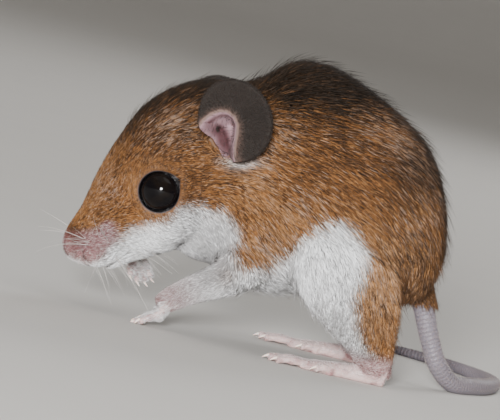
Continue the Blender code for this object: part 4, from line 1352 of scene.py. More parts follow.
def grow_coat(skin, regions, settings):
    """All the fur of head, body and legs, in pieces of their own by part of the body."""
    chance = np.random.default_rng(settings.seed)
    places, normals, uv = skin.scatter(coat_density(skin, regions), settings.tufts, chance)
    count = len(places)
    flow = hair_flow(places, normals)
    length = hair_length(places)
    depth = coat_depth(places)
    back, _, _ = head_places(places)
    clump = (drift(places, 1.1, 5) * 0.24 + drift(places, 0.45, 6) * 0.16) * (0.4 + 0.6 * step(9, 20, back))
    flow = turned(flow, normals, clump + chance.normal(0, settings.scatter, count))
    seen = places + flow * (length * 0.75)[:, None] + normals * (depth * 0.7)[:, None]
    marks, ticking = markings(seen, chance.normal(0, 0.32, count))
    guard = (chance.random(count) < GUARD_SHARE) & (back > 12)
    width = tuft_width(length) * settings.thickness * chance.uniform(0.75, 1.3, count)
    width = np.where(guard, width * 0.7, width)
    bare = marks[:, 2]
    rise = depth * chance.uniform(0.55, 1.1, count) + 0.05
    rise += (back < 20) * 0.1 * chance.random(count) ** 2
    rise = np.where(guard, rise * 1.45 + 0.25, rise) * (1 + 0.25 * clump)
    length = length * chance.uniform(0.7, 1.25, count) * settings.length
    length = np.where(guard, length * 1.3, length) * (1 - 0.1 * bare)
    on_tail = tail_root(places)[1]
    length *= 1 + on_tail * (0.7 * drift(places, 0.35, 11) - 0.1)
    rise *= 1 - 0.62 * on_tail
    width *= 1 - 0.3 * bare
    tone_and_light, frost = tones(seen)
    shade = np.clip(0.47 + 0.1 * drift(places, 0.7, 8) + tone_and_light + chance.normal(0, 0.28, count), 0, 1)
    ticked = chance.random(count) < TICKED_SHARE * ticking
    shade = np.where(ticked, 0.0, shade)
    silvery = chance.random(count) < frost
    shade = np.where(silvery, chance.uniform(0.86, 1.0, count), shade)
    ticking = np.where(ticked | silvery, FULL_TICKING, ticking)
    shade = np.where(guard, chance.random(count) * 0.3, shade)
    rows = (places, normals, uv, flow, length, width, rise, marks, shade, ticking)
    names = coat_region(places)
    pieces = []
    for region in sorted(set(names)):
        chosen = np.flatnonzero(names == region)
        for i in range(0, len(chosen), PIECE_TUFTS):
            part = chosen[i : i + PIECE_TUFTS]
            letter = "" if len(chosen) <= PIECE_TUFTS else "_" + "abcdefgh"[i // PIECE_TUFTS]
            pieces.append(grow("coat_" + region + letter, skin, [row[part] for row in rows]))
    return pieces


def grow_fuzz(skin, regions, settings):
    """The short thin hair of ears, tail and paws, sparse inside the ears' cups."""
    cups = ear_marks(skin.points, skin.normals, regions)[0][:, 1]
    chance = np.random.default_rng(settings.seed + 1)
    counts = (settings.ear_hairs, settings.tail_hairs, settings.paw_hairs)
    pieces = []
    for (name, region, length, width, brown), count in zip(FUZZ, counts):
        density = (regions == region).astype(float)
        if region == EAR_REGION:
            density *= 1 - 0.93 * cups
        density[(skin.points[:, 2] < 0.6) & (skin.normals[:, 2] < -0.1)] = 0
        places, normals, uv = skin.scatter(density, count, chance)
        if region == EAR_REGION:
            centres = np.where(places[:, 1:2] < 0, np.array(ear_centre(LEFT)), np.array(ear_centre(RIGHT)))
            flow = places - centres + np.array((0.5, 0, 1.0))
        elif region == TAIL_REGION:
            flow, _ = path_flow(places, interpolate(TAIL_PATH, 60))
        else:
            flow = hair_flow(places, normals)
        flow = turned(along_surface(flow, normals), normals, chance.normal(0, 0.25, count))
        marks, _ = markings(places)
        marks[:, 1] = brown
        marks[:, 2] = 1
        reach = length * chance.uniform(0.6, 1.2, count) * np.where(places[:, 2] < 1.5, 0.7, 1.0)
        if region == PAW_REGION:
            fore = places[:, 0] < 2
            reach *= np.where(fore, 1.9, 1.0)
            marks[:, 0] = fore
        widths = width * chance.uniform(0.8, 1.3, count)
        rise = reach * chance.uniform(0.12, 0.4, count)
        shade = chance.random(count)
        rows = (places, normals, uv, flow, reach, widths, rise, marks, shade, shade)
        pieces.append(grow(name, skin, rows, 0.05, False))
    return pieces


def skin_regions(skin, sources):
    """The number of its region for each vertex of the skin, by the form that it grew from."""
    places = coordinates(skin.data)
    regions = np.full(len(places), COAT_REGION)
    for region, meshes in sources.items():
        for mesh in meshes:
            bm = bmesh.new()
            bm.from_mesh(mesh)
            tree = BVHTree.FromBMesh(bm)
            bm.free()
            for i in within(places, coordinates(mesh), 0.3):
                if tree.find_nearest(places[i])[3] < REGION_REACH:
                    regions[i] = region
    regions[(regions == PAW_REGION) & (paw_share(places) < 0.5)] = COAT_REGION
    regions[(regions == TAIL_REGION) & (places[:, 2] > BARE_TAIL_TOP)] = COAT_REGION
    return regions


def ear_marks(places, normals, regions):
    """How much each vertex is pinna, flesh of the cup and deep red canal, whose dark red is painted shade in
    the canal and under the fold, and how much the fold's ridge, a painted highlight.
    """
    marks = np.zeros((len(places), 3))
    ridge = np.zeros(len(places))
    for hand in (LEFT, RIGHT):
        on_body = (regions < EAR_REGION) & (distance(places, ear_centre(hand)) < EAR["radius"])
        chosen = np.flatnonzero(((regions == EAR_REGION) | on_body) & (places[:, 1] * hand > 0))
        u, v, _ = ear_places(places[chosen], hand)
        inner = normals[chosen] @ np.array(ear_axes(hand)[2]) > 0.15
        for i, a, b, front in zip(chosen, u, v, inner):
            place = Vector((a, b))
            inside = inside_loop(place, EAR_LOOP)
            if on_body[i]:
                marks[i] = inside
                continue
            marks[i, 0] = 1
            if not front:
                continue
            away = fold_distance(place)
            fade = 0.2 + 0.12 * max(0.0, min(1.0, -2 * b))
            marks[i, 1] = 1.0 if inside else 0.75 * max(0.0, 1 - away / fade) ** 1.5
            # A paler line along the fold's ridge: painted highlight.
            ridge[i] = math.exp(-((away / 0.045) ** 2))
            if inside:
                # Painted shade: a dark line just under the fold, and the slit of the canal.
                line = math.exp(-(((away - 0.12) / 0.045) ** 2)) * (1.0 if b > -0.1 else 0.25)
                slit = ((a + 0.5 + 0.42 * (b + 0.52)) / 0.22) ** 2 + ((b + 0.54) / 0.44) ** 2
                marks[i, 2] = min(1.0, 0.7 * line + math.exp(-(slit**2)))
    return marks, ridge


def tail_lengths(places):
    """How far down the tail each place lies, in millimetres."""
    path = interpolate(TAIL_PATH, 400)[:, :3]
    lengths = np.concatenate([[0], np.cumsum(np.linalg.norm(np.diff(path, axis=0), axis=1))])
    best = np.full(len(places), FAR)
    at = np.zeros(len(places))
    for row, length in zip(path, lengths):
        off = distance(places, row)
        at = np.where(off < best, length, at)
        best = np.minimum(best, off)
    return at


def mark_skin(skin, regions):
    """Puts the markings on the skin's vertices, where its material reads them."""
    places, normals = coordinates(skin.data), directions(skin.data)
    marks, _ = markings(places)
    marks[:, 2] = np.maximum(marks[:, 2], regions >= TAIL_REGION)
    ears, ridge = ear_marks(places, normals, regions)
    rim = eye_corner(places)
    for hand in (LEFT, RIGHT):
        rim = np.maximum(rim, 1 - step(2.2, 2.62, distance(places, eye_centre(hand))))
    right, above = side_view(places)
    patch = blob(right, above, *NOSE_PATCH)
    off = line_distance(ROSE_LINE, right, above)
    rose = np.exp(-((off / 0.6) ** 2)) * marks[:, 2] * (places[:, 0] < -3)
    on_tail = regions == TAIL_REGION
    tail_at = np.zeros(len(places))
    tail_at[on_tail] = tail_lengths(places[on_tail])
    paw = np.maximum(regions == PAW_REGION, 0.55 * marks[:, 2] * (places[:, 0] > 5) * ~on_tail)
    write(skin.data, "marks", marks)
    write(skin.data, "ear_marks", ears)
    write(skin.data, "rose", rose)
    write(skin.data, "details", np.stack([rim, ridge, patch], axis=1))
    write(skin.data, "tail_at", np.stack([tail_at, on_tail, paw], axis=1))


def make_eyeball(name, hand):
    """An eyeball whose clear front bulges a little."""
    eye = ellipsoid(name, Vector((0, 0, 0)), (1.0, 1.0, 1.0), None, 64, 40)
    rows = coordinates(eye.data)
    front = rows @ np.array(gaze_of(hand))
    rows = rows * (1 + 0.035 * step(0.45, 0.95, front))[:, None]
    set_coordinates(eye.data, rows * EYE["radius"] * 1.02 + np.array(eye_centre(hand)))
    return smoothed(eye)


def curved_hairs(name, rows):
    """Long thin tapered hairs, each from a root, heading, length, droop and its radius at root and tip."""
    joints = 12
    pieces = []
    for root, heading, length, droop, thick, thin in rows:
        points = []
        for i in range(joints):
            share = i / (joints - 1)
            point = root + heading * (length * share - 0.25) + droop * length * share**2
            points.append((*point, thick + (thin - thick) * share**0.7))
        pieces.append(tube("hair", points, 6))
    return smoothed(joined(name, pieces))


def spread_whiskers(chance, radius):
    """Every whisker as a row, a share of its length and a radius: the long ones, and strays of each kind."""
    hairs = []
    for rows, strays, root, turn, shares, thin in (
        (WHISKERS, 3, 0.35, 0.16, (0.3, 0.8), 0.5),
        (FINE_WHISKERS, 4, 0.4, 0.14, (0.5, 1.0), 0.42),
    ):
        spreads = (root, root, root, turn, turn, turn)
        for row in rows:
            if rows is WHISKERS:
                hairs.append((row, 1.0, radius))
            for _ in range(strays):
                moved = [value + chance.normal(0, spread) for value, spread in zip(row, spreads)]
                hairs.append(((*moved, row[6]), chance.uniform(*shares), radius * thin))
    return hairs


def make_whiskers(skin, settings):
    """The long whiskers of both pads, strays between them and fine ones, none of them through the floor."""
    chance = np.random.default_rng(settings.seed + 2)
    tree = solid_tree(skin)
    _, along, across, above = head_axes()
    rows = []
    for (back, out, height, lean_back, lean_out, lean_up, length), share, radius in spread_whiskers(
        chance, settings.whisker
    ):
        for hand in (LEFT, RIGHT):
            root, normal, _, _ = tree.find_nearest(head_point(back, out * hand, height))
            heading = along * lean_back + across * lean_out * hand + above * lean_up
            heading = (heading.normalized() + normal * 0.3).normalized()
            droop = Vector((0.12, 0.0, -0.2 + 0.1 * lean_up)) + Vector(chance.normal(0, 0.04, 3))
            reach = length * share
            tip = root + heading * reach + droop * reach
            if tip.z < WHISKER_FLOOR:
                reach *= max(0.3, (root.z - WHISKER_FLOOR) / (root.z - tip.z))
            rows.append((root, heading, reach, droop, radius, radius * 0.16))
    return curved_hairs("whiskers", rows)


def make_claws(places):
    """A hooked claw on each digit."""
    joints = 9
    pieces = []
    for tip, down, up in places:
        rows = []
        for j in range(joints):
            along = j / (joints - 1)
            point = tip + down * (CLAW["length"] * along - CLAW["sunk"]) + up * (0.16 - 0.34 * along**2)
            rows.append((*point, CLAW["radius"] * (1 - along) ** 0.75 + CLAW["tip"]))
        pieces.append(tube("claw", rows, 12))
    claws = joined("claws", pieces)
    rows = coordinates(claws.data)
    rows[:, 2] = np.maximum(rows[:, 2], 0.01)
    set_coordinates(claws.data, rows)
    return smoothed(claws)


class Value:
    """A socket of a material's nodes. Sums written with it add Math nodes."""

    def __init__(self, nodes, socket):
        self.nodes, self.socket = nodes, socket

    def __add__(self, other):
        return self.nodes.math("ADD", self, other)

    def __sub__(self, other):
        return self.nodes.math("SUBTRACT", self, other)

    def __rsub__(self, other):
        return self.nodes.math("SUBTRACT", other, self)

    def __mul__(self, other):
        return self.nodes.math("MULTIPLY", self, other)

    __radd__ = __add__
    __rmul__ = __mul__

    def clamp(self):
        return self.nodes.add("ShaderNodeClamp", {}, [self])

    def rise(self, low, high):
        """0 below the low value and 1 above the high one."""
        settings = {"interpolation_type": "SMOOTHSTEP"}
        return self.nodes.add("ShaderNodeMapRange", settings, [self, low, high, 0.0, 1.0])

    def parts(self):
        node = self.nodes.node("ShaderNodeSeparateXYZ", {}, [self])
        return [Value(self.nodes, output) for output in node.outputs]


class Nodes:
    """The nodes of one material, and the few ways in which this file adds to them."""

    def __init__(self, name):
        self.material = bpy.data.materials.new(name)
        self.material.use_nodes = True
        self.tree = self.material.node_tree
        self.shader = self.tree.nodes["Principled BSDF"]

    def connect(self, value, socket):
        """Links a Value to a socket, or sets a number, direction or colour on it."""
        if isinstance(value, Value):
            self.tree.links.new(value.socket, socket)
        else:
            socket.default_value = (*value, 1.0) if socket.type == "RGBA" else value

    def node(self, kind, settings=None, inputs=()):
        """Any node, by its type, its settings, and the values or links of its sockets in order or by name."""
        node = self.tree.nodes.new(kind)
        for key, value in (settings or {}).items():
            setattr(node, key, value)
        if isinstance(inputs, dict):
            pairs = [(node.inputs[key], value) for key, value in inputs.items()]
        else:
            pairs = zip(node.inputs, inputs)
        for socket, value in pairs:
            self.connect(value, socket)
        return node

    def add(self, kind, settings=None, inputs=(), output=0):
        return Value(self, self.node(kind, settings, inputs).outputs[output])

    def math(self, operation, *values):
        return self.add("ShaderNodeMath", {"operation": operation}, values)

    def attribute(self, name, output="Vector"):
        return self.add("ShaderNodeAttribute", {"attribute_name": name}, output=output)

    def places(self):
        return self.add("ShaderNodeTexCoord", output="Object")

    def noise(self, scale, detail=2.0, roughness=0.5):
        """Soft noise about its middle, its scale in grains to the metre."""
        inputs = {"Vector": self.places(), "Scale": scale, "Detail": detail, "Roughness": roughness}
        return self.add("ShaderNodeTexNoise", {}, inputs, "Fac")

    def cells(self, scale):
        inputs = {"Vector": self.places(), "Scale": scale}
        return self.add("ShaderNodeTexVoronoi", {}, inputs, "Distance")

    def mix(self, first, second, share):
        """From the first colour to the second by the share."""
        node = self.tree.nodes.new("ShaderNodeMix")
        node.data_type = "RGBA"
        for number, value in ((0, share), (6, first), (7, second)):
            self.connect(value, node.inputs[number])
        return Value(self, node.outputs[2])

    def tint(self, colour, factor):
        """A colour made darker or lighter by a number that changes over the surface."""
        grey = self.add("ShaderNodeCombineXYZ", {}, [factor, factor, factor])
        return self.add("ShaderNodeVectorMath", {"operation": "MULTIPLY"}, [colour, grey])

    def bump(self, height, distance, strength):
        inputs = {"Strength": strength, "Distance": distance, "Height": height}
        return self.add("ShaderNodeBump", {}, inputs, "Normal")

    def finish(self, **inputs):
        """Sets or links the shader's own sockets, named with underscores for spaces."""
        for name, value in inputs.items():
            self.connect(value, self.shader.inputs[name.replace("_", " ")])
        return self.material


def coat_colour(nodes, hues, along, shade, ticking):
    """One hair's colour: ticked orange brown above, white below, darker along the back with painted shadow,
    darker at the roots with painted shade, pale on bare skin.
    """
    white, dark, bare = nodes.attribute("marks").parts()
    band = nodes.mix(hues.orange, hues.buff, shade.rise(0.45, 1.0))
    band = nodes.mix(hues.brown, band, shade.rise(0.08, 0.42))
    # Darker roots: the hair's own dark base, and painted shade deep in the coat.
    root = nodes.mix(hues.underfur, band, along.rise(0.0, 0.42))
    tip_dark = ticking * (1 - shade.rise(0.1, 0.5)) * along.rise(0.35, 0.8)
    fur = nodes.mix(root, hues.tip, (tip_dark * 0.9).clamp())
    pale_tip = ticking * shade.rise(0.82, 0.95) * along.rise(0.3, 0.8)
    fur = nodes.mix(fur, hues.silver, (pale_tip * 0.44).clamp())
    # The dark back: darker fur deepened to near black as painted shadow.
    back = nodes.mix(hues.dorsal, hues.brown, shade.rise(0.7, 1.0) * 0.5)
    fur = nodes.mix(fur, back, dark * 0.96)
    fur = nodes.tint(fur, 0.8 + 0.4 * nodes.noise(2600.0).rise(0.3, 0.7))
    # Greyer white hairs: duller hairs, and painted shade between the hairs and under the throat.
    under = nodes.mix(hues.white, hues.cream, 0.95 * (1 - shade.rise(0.1, 0.62)))
    # Grey roots of the white hairs: painted shade deep in the coat.
    under = nodes.mix(hues.under_root, under, along.rise(-0.15, 0.4))
    fur = nodes.mix(fur, under, white)
    fuzz = nodes.mix(hues.patch, hues.pink, shade.rise(0.0, 0.28))
    fuzz = nodes.mix(fuzz, hues.fuzz, shade.rise(0.35, 0.85))
    return nodes.mix(fur, fuzz, bare * 0.95)


def coat_material(hues):
    nodes = Nodes("fur")
    along, shade, ticking = nodes.attribute("strand").parts()
    streaks = nodes.noise(9000.0)
    colour = nodes.tint(coat_colour(nodes, hues, along, shade, ticking), 0.82 + streaks * 0.36)
    normal = nodes.bump(streaks, 0.00003, 0.35)
    return nodes.finish(
        Base_Color=colour, Roughness=0.52 + 0.16 * shade, Normal=normal, Specular_IOR_Level=0.2,
        Sheen_Weight=0.03, Sheen_Roughness=0.4,
    )


def fuzz_material(hues):
    """Short hair of ears, tail and paws: brown on the ears and pale elsewhere."""
    nodes = Nodes("fine_hair")
    white, ear, _ = nodes.attribute("marks").parts()
    along, shade, _ = nodes.attribute("strand").parts()
    colour = nodes.mix(hues.fuzz, hues.white, white * 0.7)
    colour = nodes.mix(colour, hues.ear_hair, ear)
    colour = nodes.tint(colour, 0.75 + 0.5 * shade)
    colour = nodes.tint(colour, 0.85 + 0.25 * nodes.noise(6000.0))
    return nodes.finish(Base_Color=colour, Roughness=0.55 + 0.15 * along, Specular_IOR_Level=0.35)


def skin_material(hues):
    """Skin under the coat, dimmed with painted shade, bare nose and feet, ringed tail with painted shade in
    its grooves, dark ears with their flesh-coloured cups, painted shade in the canal and under the fold, and
    a painted highlight along the fold.
    """
    nodes = Nodes("skin")
    white, dark, bare = nodes.attribute("marks").parts()
    pinna, flesh, deep = nodes.attribute("ear_marks").parts()
    rim, ridge, patch = nodes.attribute("details").parts()
    tail_at, tail, paw = nodes.attribute("tail_at").parts()
    fine = nodes.noise(5200.0, 4.0, 0.6)
    coarse = nodes.noise(900.0, 3.0, 0.55)
    creases = nodes.cells(4200.0)
    # Skin under the dark back, with the same painted shadow.
    furred = nodes.mix(hues.orange, hues.dorsal, dark)
    # Skin under the white coat: grey, painted shade under the hair.
    furred = nodes.mix(furred, hues.under_root, white)
    # Skin dimmed all over under the coat: painted shade under the hair.
    furred = nodes.tint(furred, 0.3 + 0.3 * coarse)
    pink = nodes.mix(hues.pink, hues.pink_deep, (coarse - 0.35).rise(0.0, 0.4))
    pink = nodes.mix(pink, hues.rose, nodes.attribute("rose", "Fac") * 0.7)
    pink = nodes.mix(pink, hues.patch, (patch * 0.75).clamp())
    colour = nodes.mix(furred, pink, bare)
    # Tail rings, darker in the grooves between them: painted shade.
    ring = nodes.math("SINE", tail_at * (2 * math.pi / RING_STEP))
    lilac = nodes.mix(hues.tail, hues.tail_ring, (0.5 - 0.5 * ring).clamp() * 0.6)
    colour = nodes.mix(colour, lilac, tail)
    pale = nodes.mix(hues.paw, hues.pink, coarse.rise(0.4, 0.75))
    colour = nodes.mix(colour, pale, paw)
    leather = nodes.mix(hues.ear, hues.ear_light, coarse.rise(0.35, 0.8) * 0.5)
    cup = nodes.mix(hues.ear_fold, hues.concha, flesh.rise(0.75, 0.95))
    # Painted shade in the canal and in a line under the fold.
    cup = nodes.mix(cup, hues.canal, deep.clamp())
    leather = nodes.mix(leather, cup, flesh.clamp())
    # Painted highlight along the fold's ridge.
    leather = nodes.mix(leather, hues.fold, ridge.rise(0.2, 0.9) * 0.9)
    colour = nodes.mix(colour, leather, pinna)
    colour = nodes.mix(colour, hues.lid, rim.rise(0.05, 0.35))
    colour = nodes.mix(colour, hues.eye, rim.rise(0.3, 0.6))
    colour = nodes.tint(colour, 0.86 + 0.28 * fine)
    wet = (deep * 0.6).clamp()
    roughness = (0.58 - 0.16 * bare + 0.3 * pinna - 0.15 * wet + 0.1 * fine - 0.42 * rim).clamp()
    height = creases * 0.5 + fine * 0.6 + ring * tail * 0.55
    normal = nodes.bump(height, 0.00006, 0.8)
    return nodes.finish(
        Base_Color=colour, Roughness=roughness, Normal=normal, Subsurface_Weight=0.12,
        Subsurface_Radius=(0.9, 0.35, 0.2), Subsurface_Scale=0.0006, Specular_IOR_Level=0.45,
    )


def eye_material(hues):
    """A near-black wet eye, a little browner in soft patches."""
    nodes = Nodes("eyeball")
    cloud = nodes.noise(700.0)
    colour = nodes.mix(hues.eye, hues.eye_brown, cloud.rise(0.45, 0.75))
    normal = nodes.bump(nodes.noise(1500.0, 1.0), 0.00001, 0.1)
    return nodes.finish(
        Base_Color=colour, Roughness=0.05 + 0.03 * cloud, Normal=normal, IOR=1.28, Coat_Weight=0.05,
        Coat_Roughness=0.02,
    )


def whisker_material(hues):
    nodes = Nodes("whisker")
    streaks = nodes.noise(2500.0)
    colour = nodes.tint(hues.whisker, 0.8 + 0.35 * streaks)
    return nodes.finish(Base_Color=colour, Roughness=0.32 + 0.15 * streaks, Specular_IOR_Level=0.6)


def claw_material(hues):
    nodes = Nodes("claw")
    streaks = nodes.noise(3800.0, 3.0)
    colour = nodes.mix(hues.claw, hues.claw_root, streaks.rise(0.4, 0.75))
    normal = nodes.bump(streaks, 0.00002, 0.4)
    return nodes.finish(
        Base_Color=colour, Roughness=0.3 + 0.15 * streaks, Normal=normal, Subsurface_Weight=0.2,
        Subsurface_Scale=0.0003,
    )


def floor_material(colour):
    nodes = Nodes("floor")
    grain = nodes.noise(60.0, 3.0)
    shade = nodes.tint(colour, 0.97 + 0.05 * grain)
    return nodes.finish(Base_Color=shade, Roughness=0.75 + 0.1 * grain)


def frame_shift():
    """What takes the millimetre, level places of this file to the frame, in metres."""
    low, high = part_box("eye_left")
    return (low + high) / 2 - eye_centre(LEFT) * MILLIMETRE


def settle(obj, material, replaced=()):
    """Scales a finished piece to metres, sets it in the frame and gives it its finish."""
    obj.data.transform(Matrix.Translation(frame_shift()) @ Matrix.Scale(MILLIMETRE, 4))
    obj.data.update()
    obj.data.materials.clear()
    obj.data.materials.append(material)
    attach(obj, "root")
    if replaced:
        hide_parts(*replaced)


def material_of(name, make):
    """A finish by name, made the first time that it is asked for."""
    return bpy.data.materials.get(name) or make(bpy.context.scene.mouse_hues)


class MouseHues(bpy.types.PropertyGroup):
    """The colours of coat, skin, ears and eyes."""


class MouseCoat(bpy.types.PropertyGroup):
    """The numbers that shape the coat and whiskers."""


class MouseStage(bpy.types.PropertyGroup):
    """The floor and the lights."""


def add_properties(group, rows):
    """Gives a group a property for each row: its name, its use, its usual value, and its limits and kind."""
    kinds = {int: bpy.props.IntProperty, float: bpy.props.FloatProperty, tuple: bpy.props.FloatVectorProperty}
    for name, use, value, limits in rows:
        label = name.replace("_", " ").capitalize()
        group.__annotations__[name] = kinds[type(value)](name=label, description=use, default=value, **limits)


FACTOR = {"subtype": "FACTOR", "min": 0.3, "max": 3}
ANGLE = {"subtype": "ANGLE", "unit": "ROTATION"}
COLOUR = {"subtype": "COLOR", "min": 0, "max": 1}
COAT_NUMBERS = (
    ("tufts", "Tufts on head, body and legs", 215000, {"min": 1000}),
    ("ear_hairs", "Short hairs on both ears", 18000, {"min": 10}),
    ("tail_hairs", "Short hairs on the tail", 4500, {"min": 10}),
    ("paw_hairs", "Short hairs on paws and feet", 7000, {"min": 10}),
    ("length", "Hair length against the usual", 1.0, FACTOR),
    ("thickness", "Tuft width against the usual", 1.0, FACTOR),
    ("scatter", "How far tufts turn from the lie of the coat", 0.12, ANGLE),
    ("whisker", "Whisker radius at the root, in millimetres", 0.045, {"min": 0.01, "max": 0.3}),
    ("seed", "Seed of every random draw", 7, {"min": 0}),
)
STAGE_NUMBERS = (
    ("floor", "Colour of floor and wall", (0.62, 0.6, 0.57), COLOUR),
    ("key_light", "Power of the main light", 7.8, {"unit": "POWER", "min": 0}),
    ("fill_light", "Power of the wide light above", 1.1, {"unit": "POWER", "min": 0}),
    ("sky", "Strength of the even light all round", 0.42, {"min": 0}),
)


HUES = (
    ("orange", "Coat on cheeks and flanks", (0.262, 0.108, 0.031)),
    ("buff", "Lighter hairs of the coat", (0.365, 0.185, 0.072)),
    ("brown", "Darker hairs of the coat", (0.085, 0.038, 0.015)),
    # The hair's dark base, deepened as painted shade deep in the coat.
    ("underfur", "Roots of the coat", (0.12, 0.066, 0.038)),
    ("tip", "Dark tips of ticked hairs", (0.02, 0.014, 0.01)),
    ("silver", "Pale tips of ticked hairs", (0.37, 0.315, 0.295)),
    # Darker fur of the back, deepened to near black as painted shadow.
    ("dorsal", "Coat along the middle of the back", (0.0085, 0.0055, 0.003)),
    ("white", "Coat of the underside", (0.92, 0.925, 0.93)),
    # Duller white hairs, and painted shade between the hairs and under the throat.
    ("cream", "Duller hairs of the underside", (0.43, 0.42, 0.42)),
    # Painted shade: grey at the roots of the white coat and on the skin under it.
    ("under_root", "Roots of the underside's coat", (0.42, 0.39, 0.37)),
    ("fuzz", "Fine pale hair of nose, paws and tail", (0.6, 0.51, 0.5)),
    ("ear_hair", "Fine hair of the ears", (0.026, 0.018, 0.014)),
    ("pink", "Bare skin of nose and paws", (0.26, 0.125, 0.125)),
    ("pink_deep", "Bare skin where it is redder", (0.22, 0.09, 0.092)),
    ("rose", "Rosy line on the muzzle", (0.24, 0.085, 0.105)),
    ("patch", "Reddish patch above the nostrils", (0.13, 0.048, 0.035)),
    ("paw", "Paws and feet", (0.55, 0.41, 0.39)),
    ("tail", "Tail", (0.185, 0.162, 0.187)),
    # Painted shade in the grooves between the tail's rings.
    ("tail_ring", "Grooves between the tail's rings", (0.14, 0.121, 0.141)),
    ("ear", "Outer ear", (0.015, 0.011, 0.009)),
    ("ear_light", "Outer ear where it is lighter", (0.03, 0.022, 0.018)),
    ("concha", "Hollow of the ear", (0.27, 0.165, 0.185)),
    ("ear_fold", "Brownish skin outside the ear's fold", (0.09, 0.05, 0.037)),
    # Painted highlight along the ridge of the fold.
    ("fold", "Ridge of the fold inside the ear", (0.15, 0.097, 0.083)),
    # Dark red flesh of the canal, darkened as painted shade there and under the fold.
    ("canal", "Depth of the ear", (0.05, 0.014, 0.017)),
    ("lid", "Edge of the eyelids", (0.05, 0.042, 0.046)),
    ("eye", "Eye", (0.0025, 0.002, 0.0025)),
    ("eye_brown", "Eye where it is browner", (0.006, 0.004, 0.003)),
    ("whisker", "Whiskers", (0.62, 0.58, 0.55)),
    ("claw", "Claws", (0.74, 0.62, 0.55)),
    ("claw_root", "Claws near their roots", (0.6, 0.42, 0.38)),
)
add_properties(MouseHues, [(*row, COLOUR) for row in HUES])
add_properties(MouseCoat, COAT_NUMBERS)
add_properties(MouseStage, STAGE_NUMBERS)


class MOUSE_OT_skin(bpy.types.Operator):
    """Makes the one skin that stands for all the flesh"""

    bl_idname = "mouse.skin"
    bl_label = "Skin"

    def execute(self, context):
        skin, claws, sources = make_form()
        if not skin.data.polygons:
            raise RuntimeError("the skin came out empty")
        only(skin)
        bpy.ops.object.mode_set(mode="EDIT")
        bpy.ops.mesh.select_all(action="SELECT")
        bpy.ops.uv.smart_project(angle_limit=1.2, island_margin=0.002)
        bpy.ops.object.mode_set(mode="OBJECT")
        skin.data.uv_layers[0].name = "OFBake"
        regions = skin_regions(smoothed(skin), sources)
        mark_skin(skin, regions)
        MADE.update(skin=skin, claws=claws, regions=regions)
        return {"FINISHED"}


class MOUSE_OT_coat(bpy.types.Operator):
    """Grows the tufts of head, body and legs, and the short hair of ears, tail and paws"""

    bl_idname = "mouse.coat"
    bl_label = "Coat"

    def execute(self, context):
        settings = context.scene.mouse_coat
        surface = Skin(MADE["skin"])
        for piece in grow_coat(surface, MADE["regions"], settings):
            settle(piece, material_of("fur", coat_material))
        for piece in grow_fuzz(surface, MADE["regions"], settings):
            settle(piece, material_of("fine_hair", fuzz_material))
        return {"FINISHED"}


class MOUSE_OT_eyes(bpy.types.Operator):
    """Makes both eyeballs"""

    bl_idname = "mouse.eyes"
    bl_label = "Eyes"

    def execute(self, context):
        for word, hand in SIDES:
            eye = make_eyeball("eyeball_" + word, hand)
            settle(eye, material_of("eyeball", eye_material), ["eye_" + word])
        return {"FINISHED"}


class MOUSE_OT_whiskers(bpy.types.Operator):
    """Makes the whiskers"""

    bl_idname = "mouse.whiskers"
    bl_label = "Whiskers"

    def execute(self, context):
        whiskers = make_whiskers(MADE["skin"], context.scene.mouse_coat)
        settle(whiskers, material_of("whisker", whisker_material))
        return {"FINISHED"}


class MOUSE_OT_claws(bpy.types.Operator):
    """Makes the claws of all four paws"""

    bl_idname = "mouse.claws"
    bl_label = "Claws"

    def execute(self, context):
        settle(make_claws(MADE["claws"]), material_of("claw", claw_material))
        return {"FINISHED"}


class MOUSE_OT_dress(bpy.types.Operator):
    """Sets the skin in the frame, in place of the solids of flesh"""

    bl_idname = "mouse.dress"
    bl_label = "Dress"

    def execute(self, context):
        settle(MADE["skin"], material_of("skin", skin_material), FLESH)
        return {"FINISHED"}


class MOUSE_OT_stage(bpy.types.Operator):
    """Makes the floor, the lights and the camera"""

    bl_idname = "mouse.stage"
    bl_label = "Stage"

    def execute(self, context):
        settings = context.scene.mouse_stage
        make_floor(settings)
        make_lights(settings)
        make_camera()
        return {"FINISHED"}


def make_floor(settings):
    """A wide pale floor whose rim rises into a wall all round, far outside every view."""
    radius, bend, steps = FLOOR["radius"], FLOOR["bend"], FLOOR["bend_steps"]
    bpy.ops.mesh.primitive_circle_add(vertices=96, radius=radius, fill_type="TRIFAN", location=(0, 0, 0))
    floor = bpy.context.object
    floor.name = "floor"
    bpy.ops.object.mode_set(mode="EDIT")
    bpy.ops.mesh.select_mode(type="EDGE")
    bpy.ops.mesh.select_all(action="DESELECT")
    bpy.ops.object.mode_set(mode="OBJECT")
    for edge in floor.data.edges:
        edge.select = all(floor.data.vertices[i].co.length > radius - 0.01 for i in edge.vertices)
    bpy.ops.object.mode_set(mode="EDIT")
    for i in range(steps):
        turn = math.radians(90 / steps * (i + 0.5))
        widen = 1 + bend * math.cos(turn) / 1.7
        bpy.ops.mesh.extrude_region_move(TRANSFORM_OT_translate={"value": (0, 0, bend * math.sin(turn))})
        bpy.ops.transform.resize(value=(widen, widen, 1), center_override=(0, 0, 0))
    bpy.ops.mesh.extrude_region_move(TRANSFORM_OT_translate={"value": (0, 0, FLOOR["wall"])})
    bpy.ops.object.mode_set(mode="OBJECT")
    bpy.ops.object.shade_smooth()
    floor.data.materials.append(floor_material(settings.floor))


